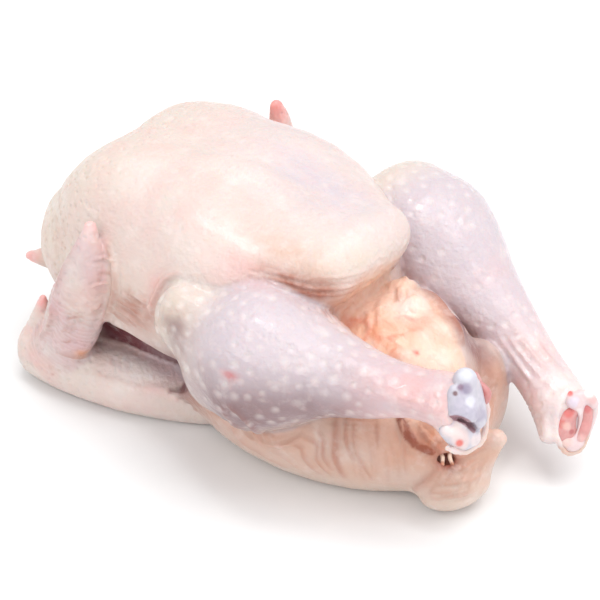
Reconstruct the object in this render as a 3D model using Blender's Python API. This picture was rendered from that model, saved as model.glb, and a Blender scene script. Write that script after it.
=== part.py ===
"""A whole raw chicken, plucked and dressed, lying on its back: one closed solid.

Frame: +X runs from the neck to the tail, +Z is up, and the leg on -Y is the one held high.
Lengths are millimetres until a mesh is written, which is in metres. Every form of the bird is a
limb: a smooth centreline between two named points, with an oval girth along it. The limbs are
joined into one mesh and fused, relaxed and cut flat where the bird rests.
"""

from math import cos, pi, radians, sin

import bmesh
import bpy
from mathutils import Vector

MM = 0.001

# The body
BODY_LENGTH = 222.0
BREAST_WIDTH = 130.0
BREAST_HEIGHT = 113.6
BODY_LEAN = radians(4.0)
NECK_X = -121.0
NECK_ROOT = Vector((-104.0, -32.0, 40.0))
NECK_END = Vector((-124.0, -44.0, 40.0))

# The legs: where each knee and hock lies
KNEE_RADIUS = 31.0
SHANK_RADIUS = 12.0
HOCK_RADIUS = 14.5
NEAR_KNEE = Vector((9.0, -52.0, 59.5))
NEAR_HOCK = Vector((112.0, -31.0, 67.0))
NEAR_BOW = Vector((2.0, -3.0, 4.0))
FAR_KNEE = Vector((9.0, 59.0, 66.0))
FAR_HOCK = Vector((123.0, 28.0, 28.0))
FAR_BOW = Vector((2.0, 4.0, 3.0))

# The wings, given for the +Y side and mirrored, with a tip for each hand
SHOULDER = Vector((-68.0, 42.0, 42.0))
ELBOW = Vector((-17.0, 40.0, 12.0))
WRIST = Vector((-97.0, 66.0, 13.5))
PALM = Vector((-86.0, 67.0, 16.0))
THUMB_TIP = Vector((-93.0, 65.0, 43.0))
NEAR_TIP = Vector((-60.0, -64.0, 96.0))
FAR_TIP = Vector((-64.5, 60.0, 95.0))

# The tail
TAIL_ROOT = Vector((72.0, -4.0, 30.0))
TAIL_END = Vector((99.0, -19.0, 12.0))
TAIL_POINT = Vector((109.0, -5.0, 35.0))

# The swell at the neck and the hollow between flank and wing, given for the +Y side
NECK_SWELL = Vector((-91.0, 28.0, 56.0))
NECK_SWELL_RADII = (28.0, 28.0, 26.0)
HOLLOW = Vector((-34.0, 60.0, 38.0))
HOLLOW_RADII = (38.0, 24.0, 13.0)

# How the forms are made and fused
SIDES = 28
RINGS = 26
CAP_RINGS = 6
VOXEL = 2.0
RELAX_STEPS = 4
TARGET_RATIO = 0.11
FLOOR_DEPTH = 40.0

UP = Vector((0.0, 0.0, 1.0))


def clear_scene():
    """Remove whatever the scene holds."""
    for item in list(bpy.data.objects):
        bpy.data.objects.remove(item, do_unlink=True)


def blend_stations(stations, t):
    """Read a smooth row of values at t from rows of (t, value, value, ...)."""
    for index in range(len(stations) - 1):
        if t <= stations[index + 1][0] or index == len(stations) - 2:
            break
    before, after = stations[index], stations[index + 1]
    first = stations[max(index - 1, 0)]
    last = stations[min(index + 2, len(stations) - 1)]
    span = after[0] - before[0]
    s = (t - before[0]) / span
    row = []
    for column in range(1, len(before)):
        slope_in = (after[column] - first[column]) / (after[0] - first[0])
        slope_out = (last[column] - before[column]) / (last[0] - before[0])
        a = 2 * s ** 3 - 3 * s ** 2 + 1
        b = s ** 3 - 2 * s ** 2 + s
        c = 3 * s ** 2 - 2 * s ** 3
        d = s ** 3 - s ** 2
        value = a * before[column] + b * span * slope_in
        value += c * after[column] + d * span * slope_out
        row.append(value)
    return row


def oval(angle, power):
    """Give a point of a unit superellipse; power 2 is round and more is squarer."""
    c, s = cos(angle), sin(angle)
    x = abs(c) ** (2 / power) * (1 if c > 0 else -1)
    y = abs(s) ** (2 / power) * (1 if s > 0 else -1)
    return x, y


def limb(bm, start, end, girth, bow=(0, 0, 0), power=2.0, caps=(0.6, 0.6), up=UP):
    """Add a closed form from start to end.

    girth has rows of (t, half width, half height, lift); bow bends the middle of the
    centreline, and caps are the lengths of the domed ends as shares of the girth there.
    """
    bow = Vector(bow)

    def centre(t):
        lift = blend_stations(girth, t)[2]
        return start.lerp(end, t) + bow * 4 * t * (1 - t) + up * lift

    def ring(t, scale, push):
        width, height, _ = blend_stations(girth, t)
        step = 0.01
        along = centre(min(t + step, 1)) - centre(max(t - step, 0))
        along.normalize()
        side = along.cross(up).normalized()
        rise = side.cross(along)
        middle = centre(t) + along * push
        points = []
        for k in range(SIDES):
            x, y = oval(2 * pi * k / SIDES, power)
            points.append(middle + side * x * width * scale + rise * y * height * scale)
        return points, middle

    rows = []
    first_cap = caps[0] * min(girth[0][1], girth[0][2])
    last_cap = caps[1] * min(girth[-1][1], girth[-1][2])
    for k in range(CAP_RINGS - 1, 0, -1):
        turn = pi / 2 * k / CAP_RINGS
        rows.append(ring(0, cos(turn), -first_cap * sin(turn))[0])
    for k in range(RINGS + 1):
        rows.append(ring(k / RINGS, 1, 0)[0])
    for k in range(1, CAP_RINGS):
        turn = pi / 2 * k / CAP_RINGS
        rows.append(ring(1, cos(turn), last_cap * sin(turn))[0])
    poles = [ring(0, 1, -first_cap)[1], ring(1, 1, last_cap)[1]]

    loops = [[bm.verts.new(p * MM) for p in row] for row in rows]
    for low, high in zip(loops, loops[1:]):
        for k in range(SIDES):
            j = (k + 1) % SIDES
            bm.faces.new((low[k], low[j], high[j], high[k]))
    for loop, pole, turned in ((loops[0], poles[0], True), (loops[-1], poles[1], False)):
        tip = bm.verts.new(pole * MM)
        for k in range(SIDES):
            pair = (loop[k], loop[(k + 1) % SIDES])
            bm.faces.new((pair[1], pair[0], tip) if turned else (pair[0], pair[1], tip))


def ball(bm, centre, radii):
    """Add a closed ellipsoid."""
    made = bmesh.ops.create_uvsphere(bm, u_segments=SIDES, v_segments=SIDES // 2, radius=MM)
    bmesh.ops.scale(bm, vec=radii, verts=made["verts"])
    bmesh.ops.translate(bm, vec=centre * MM, verts=made["verts"])


def mirrored(point):
    """Give the same point on the -Y side."""
    return Vector((point.x, -point.y, point.z))


def add_body(bm):
    """The carcass under the skin, the breast's lobes and keel, and the belly behind them."""
    half = BREAST_WIDTH / 2
    top = BREAST_HEIGHT
    up = Vector((0, -sin(BODY_LEAN), cos(BODY_LEAN)))
    neck = Vector((NECK_X + 32, 0, 0))
    rump = Vector((NECK_X + BODY_LENGTH - 12, 0, 0))
    girth = [
        (0.00, half * 0.81, top * 0.33, top * 0.47),
        (0.10, half * 0.92, top * 0.41, top * 0.475),
        (0.27, half * 0.98, top * 0.49, top * 0.485),
        (0.46, half * 0.93, top * 0.475, top * 0.47),
        (0.64, half * 0.60, top * 0.34, top * 0.33),
        (0.82, half * 0.46, top * 0.25, top * 0.24),
        (1.00, half * 0.34, top * 0.18, top * 0.18),
    ]
    limb(bm, neck, rump, girth, power=2.5, caps=(0.75, 0.45), up=up)
    for side, wide, reach in ((-1, 0.64, 0.12), (1, 0.69, 0.14)):
        start = Vector((NECK_X + 14, side * half * 0.34, 0))
        end = Vector((33, side * half * reach, 0))
        lobe = [
            (0.00, half * 0.25, top * 0.17, top * 0.50),
            (0.20, half * 0.55, top * 0.385, top * 0.566),
            (0.45, half * 0.63, top * 0.415, top * 0.578),
            (0.72, half * wide, top * 0.365, top * 0.645),
            (1.00, half * 0.37, top * 0.12, top * 0.815),
        ]
        limb(bm, start, end, lobe, power=2.4, caps=(0.6, 0.85), up=up)
    keel = [
        (0.00, half * 0.30, top * 0.16, top * 0.50),
        (0.20, half * 0.35, top * 0.37, top * 0.562),
        (0.45, half * 0.35, top * 0.405, top * 0.57),
        (0.72, half * 0.30, top * 0.355, top * 0.635),
        (1.00, half * 0.25, top * 0.10, top * 0.80),
    ]
    limb(bm, Vector((NECK_X + 14, 0, 0)), Vector((34, 0, 0)), keel, caps=(0.6, 0.5), up=up)
    belly = [
        (0.00, half * 0.55, top * 0.21, 0),
        (0.45, half * 0.53, top * 0.27, 0),
        (0.75, half * 0.46, top * 0.24, 0),
        (1.00, half * 0.36, top * 0.17, 0),
    ]
    limb(bm, Vector((30, -3, 48)), Vector((77, 1, 46)), belly)
    neck_skin = [(0, 9, 9, 0), (0.6, 5.5, 5.5, 0), (1, 2.5, 2.5, 0)]
    limb(bm, NECK_ROOT, NECK_END, neck_skin, caps=(0.6, 0.9))
    for place in (mirrored, Vector):
        ball(bm, place(NECK_SWELL), NECK_SWELL_RADII)


def add_leg(bm, knee, hock, bow, side):
    """Thigh along the flank, drumstick with its calf, and the flared cut at the hock."""
    drum = [
        (0.00, KNEE_RADIUS * 0.89, KNEE_RADIUS * 0.89, 0),
        (0.14, KNEE_RADIUS, KNEE_RADIUS, 0),
        (0.28, KNEE_RADIUS * 0.86, KNEE_RADIUS * 0.84, 0),
        (0.44, KNEE_RADIUS * 0.62, KNEE_RADIUS * 0.56, 0),
        (0.62, SHANK_RADIUS * 1.18, SHANK_RADIUS * 1.02, 0),
        (0.78, SHANK_RADIUS, SHANK_RADIUS * 0.84, 0.8),
        (0.90, HOCK_RADIUS * 0.84, HOCK_RADIUS * 0.80, 1.2),
        (1.00, HOCK_RADIUS * 0.92, HOCK_RADIUS * 1.08, 0),
    ]
    limb(bm, knee, hock, drum, bow=bow, power=2.1, caps=(0.7, 0.35))
    thigh = [
        (0.00, 23, 25, 0),
        (0.30, 25, 26, 0),
        (0.65, 23, 25, 0),
        (1.00, 18, 21, 0),
    ]
    front = Vector((-6, side * 37, 30))
    back = Vector((80, side * 14, 22))
    limb(bm, front, back, thigh, bow=(0, side * 7, -3), caps=(0.7, 0.7))


def add_wing(bm, place, tip):
    """Upper arm under the flank, the flat on the board and the hand up the breast."""
    arm = [(0, 12, 14, 0), (0.5, 9, 10, 0), (1, 10, 11, 0)]
    limb(bm, place(SHOULDER), place(ELBOW), arm, caps=(0.9, 0.9))
    flat = [(0, 12, 13, 0), (0.35, 14, 14, 0), (0.75, 13, 14, 0), (1, 11, 14, 0)]
    bow = place(Vector((0, 5, 0)))
    limb(bm, place(ELBOW), place(WRIST), flat, bow=bow, caps=(0.9, 0.9))
    hand = [(0, 10, 12, 0), (0.4, 9, 13.5, 0), (0.6, 8, 12, 0), (0.8, 6, 8, 0), (1, 3.5, 4.5, 0)]
    limb(bm, place(PALM), tip, hand, bow=place(Vector((7, 3, 0))), caps=(1, 1))
    thumb = [(0, 8, 9, 0), (0.5, 5.5, 7, 0), (1, 3, 3, 0)]
    limb(bm, place(WRIST), place(THUMB_TIP), thumb, caps=(1, 1.2))


def add_tail(bm):
    """The tail's fat lobe with its point, and the skin that leads into it."""
    root = [(0, 26, 26, 0), (0.6, 20, 18, 0), (1, 15.5, 12.5, 0)]
    limb(bm, TAIL_ROOT, TAIL_END, root, caps=(0.8, 0.7))
    point = [(0, 12, 13, 0), (0.6, 8, 9, 0), (1, 4, 4, 0)]
    limb(bm, TAIL_END + Vector((-8, 8, 2)), TAIL_POINT, point, caps=(0.9, 0.9))


def skin_material():
    """Raw chicken skin: pale, soft and a little wet."""
    material = bpy.data.materials.new("raw_skin")
    material.use_nodes = True
    shader = material.node_tree.nodes["Principled BSDF"]
    shader.inputs["Base Color"].default_value = (0.80, 0.63, 0.57, 1.0)
    shader.inputs["Roughness"].default_value = 0.42
    shader.inputs["Metallic"].default_value = 0.0
    return material


def new_object(name, bm):
    """Make an object from a bmesh and free the bmesh."""
    mesh = bpy.data.meshes.new(name)
    bm.to_mesh(mesh)
    bm.free()
    item = bpy.data.objects.new(name, mesh)
    bpy.context.scene.collection.objects.link(item)
    return item


def as_helper(item):
    """Keep an object that only shapes another one out of sight."""
    item.hide_render = True
    item.display_type = "WIRE"
    return item


def add_floor_cutter():
    """A block below the board's level that cuts the resting flats."""
    bm = bmesh.new()
    bmesh.ops.create_cube(bm, size=1.0)
    size = 4 * BODY_LENGTH * MM
    bmesh.ops.scale(bm, vec=(size, size, FLOOR_DEPTH * MM), verts=bm.verts)
    bmesh.ops.translate(bm, vec=(0, 0, -FLOOR_DEPTH * MM / 2), verts=bm.verts)
    return as_helper(new_object("floor_cutter", bm))


def add_hollow_cutter():
    """The air between the flank and the wing, on both sides."""
    bm = bmesh.new()
    for place in (mirrored, Vector):
        ball(bm, place(HOLLOW), HOLLOW_RADII)
    return as_helper(new_object("hollow_cutter", bm))


def fused(item, name):
    """Turn overlapping closed forms into one skin."""
    fuse = item.modifiers.new(name, "REMESH")
    fuse.mode = "VOXEL"
    fuse.voxel_size = VOXEL * MM
    fuse.use_smooth_shade = True


def combined(item, other, operation):
    """Add or take away another closed solid."""
    boolean = item.modifiers.new(other.name, "BOOLEAN")
    boolean.operation = operation
    boolean.solver = "EXACT"
    boolean.object = other


def add_limbs():
    """Legs, wings and tail, which lie over the hollows of the flanks."""
    bm = bmesh.new()
    add_leg(bm, NEAR_KNEE, NEAR_HOCK, NEAR_BOW, -1)
    add_leg(bm, FAR_KNEE, FAR_HOCK, FAR_BOW, 1)
    add_wing(bm, mirrored, NEAR_TIP)
    add_wing(bm, Vector, FAR_TIP)
    add_tail(bm)
    bmesh.ops.recalc_face_normals(bm, faces=bm.faces)
    limbs = as_helper(new_object("limbs", bm))
    fused(limbs, "fuse")
    return limbs


def add_chicken(floor, hollows, limbs):
    """Fuse the body, hollow its flanks, add the limbs, relax the joins and cut the flats."""
    bm = bmesh.new()
    add_body(bm)
    bmesh.ops.recalc_face_normals(bm, faces=bm.faces)
    chicken = new_object("chicken", bm)
    chicken.data.shade_smooth()
    chicken.data.materials.append(skin_material())
    fused(chicken, "fuse")
    combined(chicken, hollows, "DIFFERENCE")
    combined(chicken, limbs, "UNION")
    fused(chicken, "fuse_all")
    relax = chicken.modifiers.new("relax", "SMOOTH")
    relax.factor = 0.5
    relax.iterations = RELAX_STEPS
    thin = chicken.modifiers.new("thin", "DECIMATE")
    thin.ratio = TARGET_RATIO
    combined(chicken, floor, "DIFFERENCE")
    return chicken


def centre_on_origin(chicken, helpers):
    """Move the bird so that the origin is under the middle of its box."""
    graph = bpy.context.evaluated_depsgraph_get()
    mesh = chicken.evaluated_get(graph).to_mesh()
    middle = Vector((0.0, 0.0, 0.0))
    for axis in (0, 1):
        reach = [vertex.co[axis] for vertex in mesh.vertices]
        middle[axis] = (min(reach) + max(reach)) / 2
    for item in (chicken, *helpers):
        item.location = -middle


def main():
    clear_scene()
    helpers = (add_floor_cutter(), add_hollow_cutter(), add_limbs())
    chicken = add_chicken(*helpers)
    centre_on_origin(chicken, helpers)


main()
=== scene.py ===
"""The looks of a whole raw chicken: skin, fat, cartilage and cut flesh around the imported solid.

Laid out as a Blender add-on and run as a script. Shapes are worked out in millimetres in the
bird's own axes: +X from the neck to the tail, +Y to the leg that hangs low, +Z up, with the
board at z = 0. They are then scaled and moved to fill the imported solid's box.
"""

from math import cos, pi, radians, sin, tan

import bmesh
import bpy
import numpy as np
import openvdb as vdb
from bpy.props import FloatProperty, FloatVectorProperty, IntProperty, PointerProperty
from mathutils import Matrix, Vector


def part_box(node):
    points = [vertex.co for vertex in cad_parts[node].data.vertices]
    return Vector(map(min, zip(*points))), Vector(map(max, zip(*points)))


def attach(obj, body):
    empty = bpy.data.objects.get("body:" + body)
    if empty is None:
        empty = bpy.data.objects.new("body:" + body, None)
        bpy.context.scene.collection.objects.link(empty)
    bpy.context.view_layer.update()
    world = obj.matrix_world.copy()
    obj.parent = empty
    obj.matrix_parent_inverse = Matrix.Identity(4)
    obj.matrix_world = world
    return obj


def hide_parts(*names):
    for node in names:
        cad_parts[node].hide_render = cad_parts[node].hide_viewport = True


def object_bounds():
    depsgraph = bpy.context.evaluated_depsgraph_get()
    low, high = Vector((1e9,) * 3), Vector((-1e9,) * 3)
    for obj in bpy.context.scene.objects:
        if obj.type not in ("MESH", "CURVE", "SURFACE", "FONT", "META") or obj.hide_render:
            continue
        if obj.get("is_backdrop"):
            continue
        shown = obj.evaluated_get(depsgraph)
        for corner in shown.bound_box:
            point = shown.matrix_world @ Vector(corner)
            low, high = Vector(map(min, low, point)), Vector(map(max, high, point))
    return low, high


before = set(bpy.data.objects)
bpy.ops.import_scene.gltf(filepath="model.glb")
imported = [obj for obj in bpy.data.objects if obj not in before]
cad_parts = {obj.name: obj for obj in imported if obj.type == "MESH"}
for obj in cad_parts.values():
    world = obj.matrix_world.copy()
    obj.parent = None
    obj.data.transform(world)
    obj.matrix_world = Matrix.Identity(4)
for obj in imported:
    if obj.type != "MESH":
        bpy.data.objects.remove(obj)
CAD_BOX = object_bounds()

bl_info = {
    "name": "Whole raw chicken",
    "version": (1, 0, 0),
    "blender": (4, 5, 0),
    "location": "3D View > Sidebar > Chicken",
    "description": "Builds the skin, fat, cartilage and cut flesh of a dressed bird",
    "category": "Object",
}

NODE = "chicken"
BODY = "root"
MM = 0.001

# The bird's landmarks, in millimetres
BODY_LEAN = radians(4.0)
NECK_X = -121.0
NECK_ROOT = (-104, -32, 40)
NECK_END = (-124, -44, 40)
NEAR_KNEE = (9, -52, 59.5)
NEAR_HOCK = (112, -31, 67)
FAR_KNEE = (9, 59, 66)
FAR_HOCK = (123, 28, 28)
SHOULDER = (-68, 42, 42)
ELBOW = (-17, 40, 12)
WRIST = (-97, 66, 13.5)
PALM = (-86, 67, 16)
NEAR_TIP = (-60, -64, 96)
FAR_TIP = (-64.5, 60, 95)
THUMB_TIP = (-93, 65, 43)
TAIL_ROOT = (72, -4, 30)
TAIL_END = (99, -19, 12)
TAIL_POINT = (109, -5, 35)
VENT = (96, -22, 27.5)

UP = np.array((0.0, 0.0, 1.0))
VIEW_TURN, VIEW_RISE = radians(40), radians(37)
BACK = np.array(
    (sin(VIEW_TURN) * cos(VIEW_RISE), -cos(VIEW_TURN) * cos(VIEW_RISE), sin(VIEW_RISE))
)
RIGHT = np.array((cos(VIEW_TURN), sin(VIEW_TURN), 0.0))
VIEW_AXES = np.array((RIGHT, np.cross(BACK, RIGHT), BACK))

# Each hock is cut along a slanting plane, and the vent is torn open: the middle of each and
# the way that it faces
CUTS = {
    "vent": (VENT, (0.513, -0.612, 0.602)),
    "near": (NEAR_HOCK, (0.955, -0.062, 0.289)),
    "far": ((125.4, 27.1, 27.0), (0.852, -0.431, 0.292)),
}
# What the cuts show, seen square on from the front: runs of balls by how far they lie to
# the right of the middle, above it and off the cut, and their radius
CUT_RIMS = {
    "near": ((6.4, 7.4, -1, 1.2), (7.2, 2.4, 0, 1.4), (7.2, -2.3, 0, 1.5), (6.0, -9.4, 0, 1.6),
             (1.6, -13.2, 0, 1.6), (-3.9, -14.8, 0, 1.4), (-8.5, -13.0, -1, 1.2)),
    "far": ((-3.6, 16.0, -1, 1.6), (-7.2, 11.3, 0, 1.9), (-8.0, 4.7, 0, 1.8), (-7.0, -2.0, 0, 1.7),
            (-4.6, -7.4, 0, 1.7), (-1.2, -9.8, 0, 1.8), (3.4, -8.4, 0, 1.7), (6.4, -3.4, 0, 1.6),
            (8.6, 4.0, 0, 1.7), (8.9, 9.5, 0, 2.0), (6.0, 14.4, 0, 2.0)),
}
CUT_PARTS = {
    "near_cartilage": (
        ((-2.4, 13.6, 0.0, 4.9), (-1.8, 8.0, 0.0, 4.6), (-3.2, 1.6, 0.0, 6.6)),
        ((0.8, 11.6, 0.0, 3.2), (1.2, 6.0, 0.0, 4.6), (1.8, -1.4, 0.0, 5.2)),
        ((-7.6, 10.4, 0.6, 2.0), (-7.2, 7.6, 0.4, 3.0), (-6.2, 3.2, 0.0, 4.6)),
        ((-8.6, -6.2, -1.4, 3.2), (-4.4, -8.6, -0.8, 4.6), (1.2, -8.8, -1.6, 4.6)),
        ((-2.4, -11.4, -0.6, 3.2), (2.8, -10.6, -1.6, 3.0)),
    ),
    "far_cartilage": (
        ((-2.4, 14.4, -0.4, 2.6), (-0.8, 12.4, 0.2, 3.2), (1.6, 10.6, 0.2, 2.4)),
        ((2.6, 14.6, -0.6, 2.6), (5.8, 14.0, 0.2, 2.8), (8.0, 11.2, 0.2, 2.6)),
        ((1.8, 10.8, 0.4, 1.9), (2.7, 5.4, 0.5, 1.3), (1.6, -1.0, 0.3, 1.1), (-1.2, -6.8, 0.0, 1.8)),
        ((-3.4, -4.6, -1.2, 2.8), (0.6, -7.0, -0.8, 2.6), (4.2, -5.4, -1.0, 2.2)),
    ),
    "near_flesh": (
        ((3.6, 11.0, 2.4, 1.6), (4.0, 8.4, 3.4, 2.2), (3.9, 5.4, 3.0, 1.7)),
        ((2.4, 15.8, -0.4, 1.3), (3.4, 12.6, -0.2, 1.6), (3.6, 9.6, 0.0, 1.4)),
    ),
    "vent_membrane": (
        ((-2.2, 3.0, -1.2, 0.8), (-1.4, 1.0, 0.2, 0.9), (-1.4, -1.6, 0.0, 0.8)),
        ((1.8, 3.6, -1.0, 0.9), (1.6, 1.0, 0.4, 0.9), (2.6, -1.8, -0.2, 0.8)),
        ((-5.4, -3.2, 0.2, 0.7), (-3.6, -2.8, 0.8, 0.8), (-1.8, -3.0, 0.0, 0.8)),
    ),
    "far_flesh": (
        ((0.4, 9.0, -1.2, 2.6), (-3.0, 5.4, -1.6, 3.8), (-4.8, 0.4, -1.6, 3.6), (-4.4, -3.4, -1.8, 2.8)),
        ((5.8, 9.6, -1.4, 3.4), (5.8, 3.2, -1.6, 3.4), (4.4, -2.6, -1.8, 3.2), (2.0, -6.0, -2.0, 2.6)),
        ((-0.4, 5.0, -2.6, 3.0), (-1.0, -2.6, -2.6, 3.2)),
    ),
}
# Deep slits in the cartilage, cut straight back
CUT_SLITS = {
    "near_cartilage": ((-9.4, -1.4, 2.0, 0.6), (-6.0, -1.0, 2.0, 0.9), (-1.9, -2.9, 2.0, 1.1),
                       (1.4, -6.4, 2.0, 0.7)),
}
# Colours on the cuts: the ground, then spots by their place and radius
CUT_TONES = {
    "near_cartilage": ("#B8B7C2", (
        ((-3.0, 3.0), 6.5, "#AFACBC", 0.8), ((3.4, 0.0), 3.4, "#9C97AA", 0.8),
        ((-2.2, 15.8), 3.4, "#CBCFD8", 0.9), ((-2.4, 10.4), 2.6, "#8F84A0", 0.7),
        ((-4.6, 11.0), 1.6, "#7D5F76", 0.8), ((-6.8, 8.6), 1.1, "#6E4F50", 0.9),
        ((-0.8, 5.6), 2.6, "#CFD1DC", 0.9), ((-7.6, -5.4), 4.6, "#E2CFCB", 0.9),
        ((-3.6, -10.0), 4.6, "#DEC6C2", 0.8), ((-4.6, -11.0), 1.7, "#D8655C", 0.95),
        ((2.6, -10.4), 3.4, "#D9C9C9", 0.8), ((-8.4, -2.6), 2.0, "#A9A2BC", 0.5),
    )),
    "far_cartilage": ("#D6BDBE", (
        ((-1.2, 12.2), 2.8, "#D3CADA", 0.8), ((-2.4, 16.0), 1.8, "#D9544F", 0.9),
        ((7.6, 13.4), 3.0, "#D9A9A6", 0.7), ((6.0, 15.8), 2.6, "#F3E6E2", 0.8),
        ((-3.4, -4.8), 3.4, "#DDB9B0", 0.8), ((1.6, 8.0), 2.0, "#F0E2E2", 0.8),
    )),
    "vent_membrane": ("#E2C3AE", (
        ((-1.4, -1.4), 1.2, "#C07A5C", 0.8), ((2.6, -1.8), 1.2, "#C07A5C", 0.8),
        ((-4.2, -3.0), 2.4, "#A0533C", 0.8),
    )),
    "near_flesh": ("#B87A78", (
        ((4.2, 8.2), 1.8, "#A55752", 0.9), ((3.2, 10.0), 0.7, "#6B3236", 0.9),
        ((3.0, 14.0), 2.0, "#CD9A96", 0.8),
    )),
    "far_flesh": ("#C98B88", (
        ((-2.2, 8.0), 2.8, "#C9605C", 0.8), ((-5.8, 3.0), 2.4, "#CB6660", 0.7),
        ((-3.2, 2.0), 2.2, "#DDB3A8", 0.8), ((5.6, 9.2), 2.4, "#C4686A", 0.8),
        ((4.6, 2.0), 2.6, "#D4918F", 0.8), ((-0.8, -0.6), 1.2, "#A44E52", 0.8),
        ((3.4, -4.0), 3.0, "#DCB1AD", 0.7),
    )),
}
# Painted shade inside the slits, brown-mauve
SLIT_SHADE = "#86646C"


# ---------------------------------------------------------------- settings


def colour(code):
    """Turn an sRGB hex code into linear red, green and blue."""
    parts = [int(code[i : i + 2], 16) / 255 for i in (1, 3, 5)]
    return tuple(p / 12.92 if p <= 0.04045 else ((p + 0.055) / 1.055) ** 2.4 for p in parts)


def length(name, description, default):
    """A size in millimetres that the user can change."""
    return FloatProperty(name=name, description=description, default=default, min=0.0)


def tint(name, description, code):
    """A colour that the user can change, from an sRGB hex code."""
    return FloatVectorProperty(
        name=name, description=description, subtype="COLOR", size=3, min=0, max=1,
        default=colour(code),
    )


class BirdSizes(bpy.types.PropertyGroup):
    """Sizes of the bird's forms and of the mesh that they make."""

    breast_width: length("Breast width", "Width across both breast lobes, mm", 130.0)
    breast_height: length("Breast height", "Height of the breast over the board, mm", 113.0)
    body_length: length("Body length", "From the neck's end to the rump, mm", 222.0)
    knee_radius: length("Knee radius", "Half the thickness of a drumstick, mm", 31.0)
    shank_radius: length("Shank radius", "Half the thickness above the hock, mm", 12.0)
    hock_radius: length("Hock radius", "Half the width of the cut hock, mm", 14.5)
    voxel: length("Voxel", "Grid step in which the forms are fused, mm", 1.4)
    triangles: IntProperty(
        name="Triangles", description="Most triangles in the skin", default=196000, min=1000
    )


class SkinLook(bpy.types.PropertyGroup):
    """Tones of the skin, the fat and the blood under it."""

    cream: tint("Cream", "Breast skin over white meat", "#DBCBC4")
    beige: tint("Beige", "Thick skin at the neck and the knees", "#DACBBE")
    lilac: tint("Lilac", "Thin skin over dark meat", "#CDC0C6")
    # Besides the dark meat, this tone is painted shade on the drumsticks' lower sides, on the knees and in
    # the hollows under the wings
    mauve: tint("Mauve", "Dark meat seen through the skin", "#8C7072")
    peach: tint("Peach", "Loose skin of thigh and tail", "#D3B3A3")
    fat: tint("Fat", "Belly fat under thin skin", "#EDC7AF")
    pink: tint("Pink", "Blood under thin skin", "#E2AFAC")
    rose: tint("Rose", "Skin over the wing's tip and the neck", "#E9A7A3")
    # Besides blood in the fat, this tone tints the painted shade where the breast's rim overhangs the fat
    orange: tint("Orange", "Fat stained by blood", "#DB9570")
    red: tint("Red", "A scratch", "#D2524A")
    vein: tint("Vein", "Fine vessels in the fat", "#D2694A")
    # Painted shade in folds, hollows and under the breast's rim; round the vent it is the brown-red of blood
    crease: tint("Crease", "Depth of a fold", "#A3604A")
    # Besides stretched edges and follicles, this tone is a painted highlight on the fat and lightens the
    # whitish top edge of each wing's flat as painted light
    pale: tint("Pale", "Stretched edges and follicles", "#F0E5E1")
    gash: tint("Gash", "Raw flesh in a tear", "#8F452C")
    # Painted shade: the hollows under the wings, the flank's lower edge, the crevice beside the far leg and
    # the vent's hole are darkened with this tone
    dark: tint("Dark", "Bruised hollow under the wing", "#743F45")


class FollicleSizes(bpy.types.PropertyGroup):
    """Sizes of the low bumps that feathers leave."""

    leg_spacing: length("Leg spacing", "Least distance between bumps on the legs, mm", 5.6)
    leg_radius: length("Leg radius", "Radius of a bump on the legs, mm", 2.7)
    leg_height: length("Leg height", "Height of a bump on the legs, mm", 0.55)
    body_spacing: length("Body spacing", "Least distance between other bumps, mm", 3.0)
    body_radius: length("Body radius", "Radius of the other bumps, mm", 1.5)
    body_height: length("Body height", "Height of the other bumps, mm", 0.8)


# ---------------------------------------------------------------- forms


def rows_at(rows, t):
    """Read a smooth row of values at t from rows of (t, value, value, ...)."""
    rows = np.asarray(rows, float)
    index = int(np.clip(np.searchsorted(rows[:, 0], t) - 1, 0, len(rows) - 2))
    before, after = rows[index], rows[index + 1]
    first, last = rows[max(index - 1, 0)], rows[min(index + 2, len(rows) - 1)]
    span = after[0] - before[0]
    s = (t - before[0]) / span
    slope_in = (after - first) / (after[0] - first[0])
    slope_out = (last - before) / (last[0] - before[0])
    value = (2 * s**3 - 3 * s**2 + 1) * before + (s**3 - 2 * s**2 + s) * span * slope_in
    value += (3 * s**2 - 2 * s**3) * after + (s**3 - s**2) * span * slope_out
    return value[1:]


def unit(v):
    """Scale a vector, or each row of vectors, to length one."""
    return v / np.maximum(np.linalg.norm(v, axis=-1, keepdims=True), 1e-9)


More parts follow.
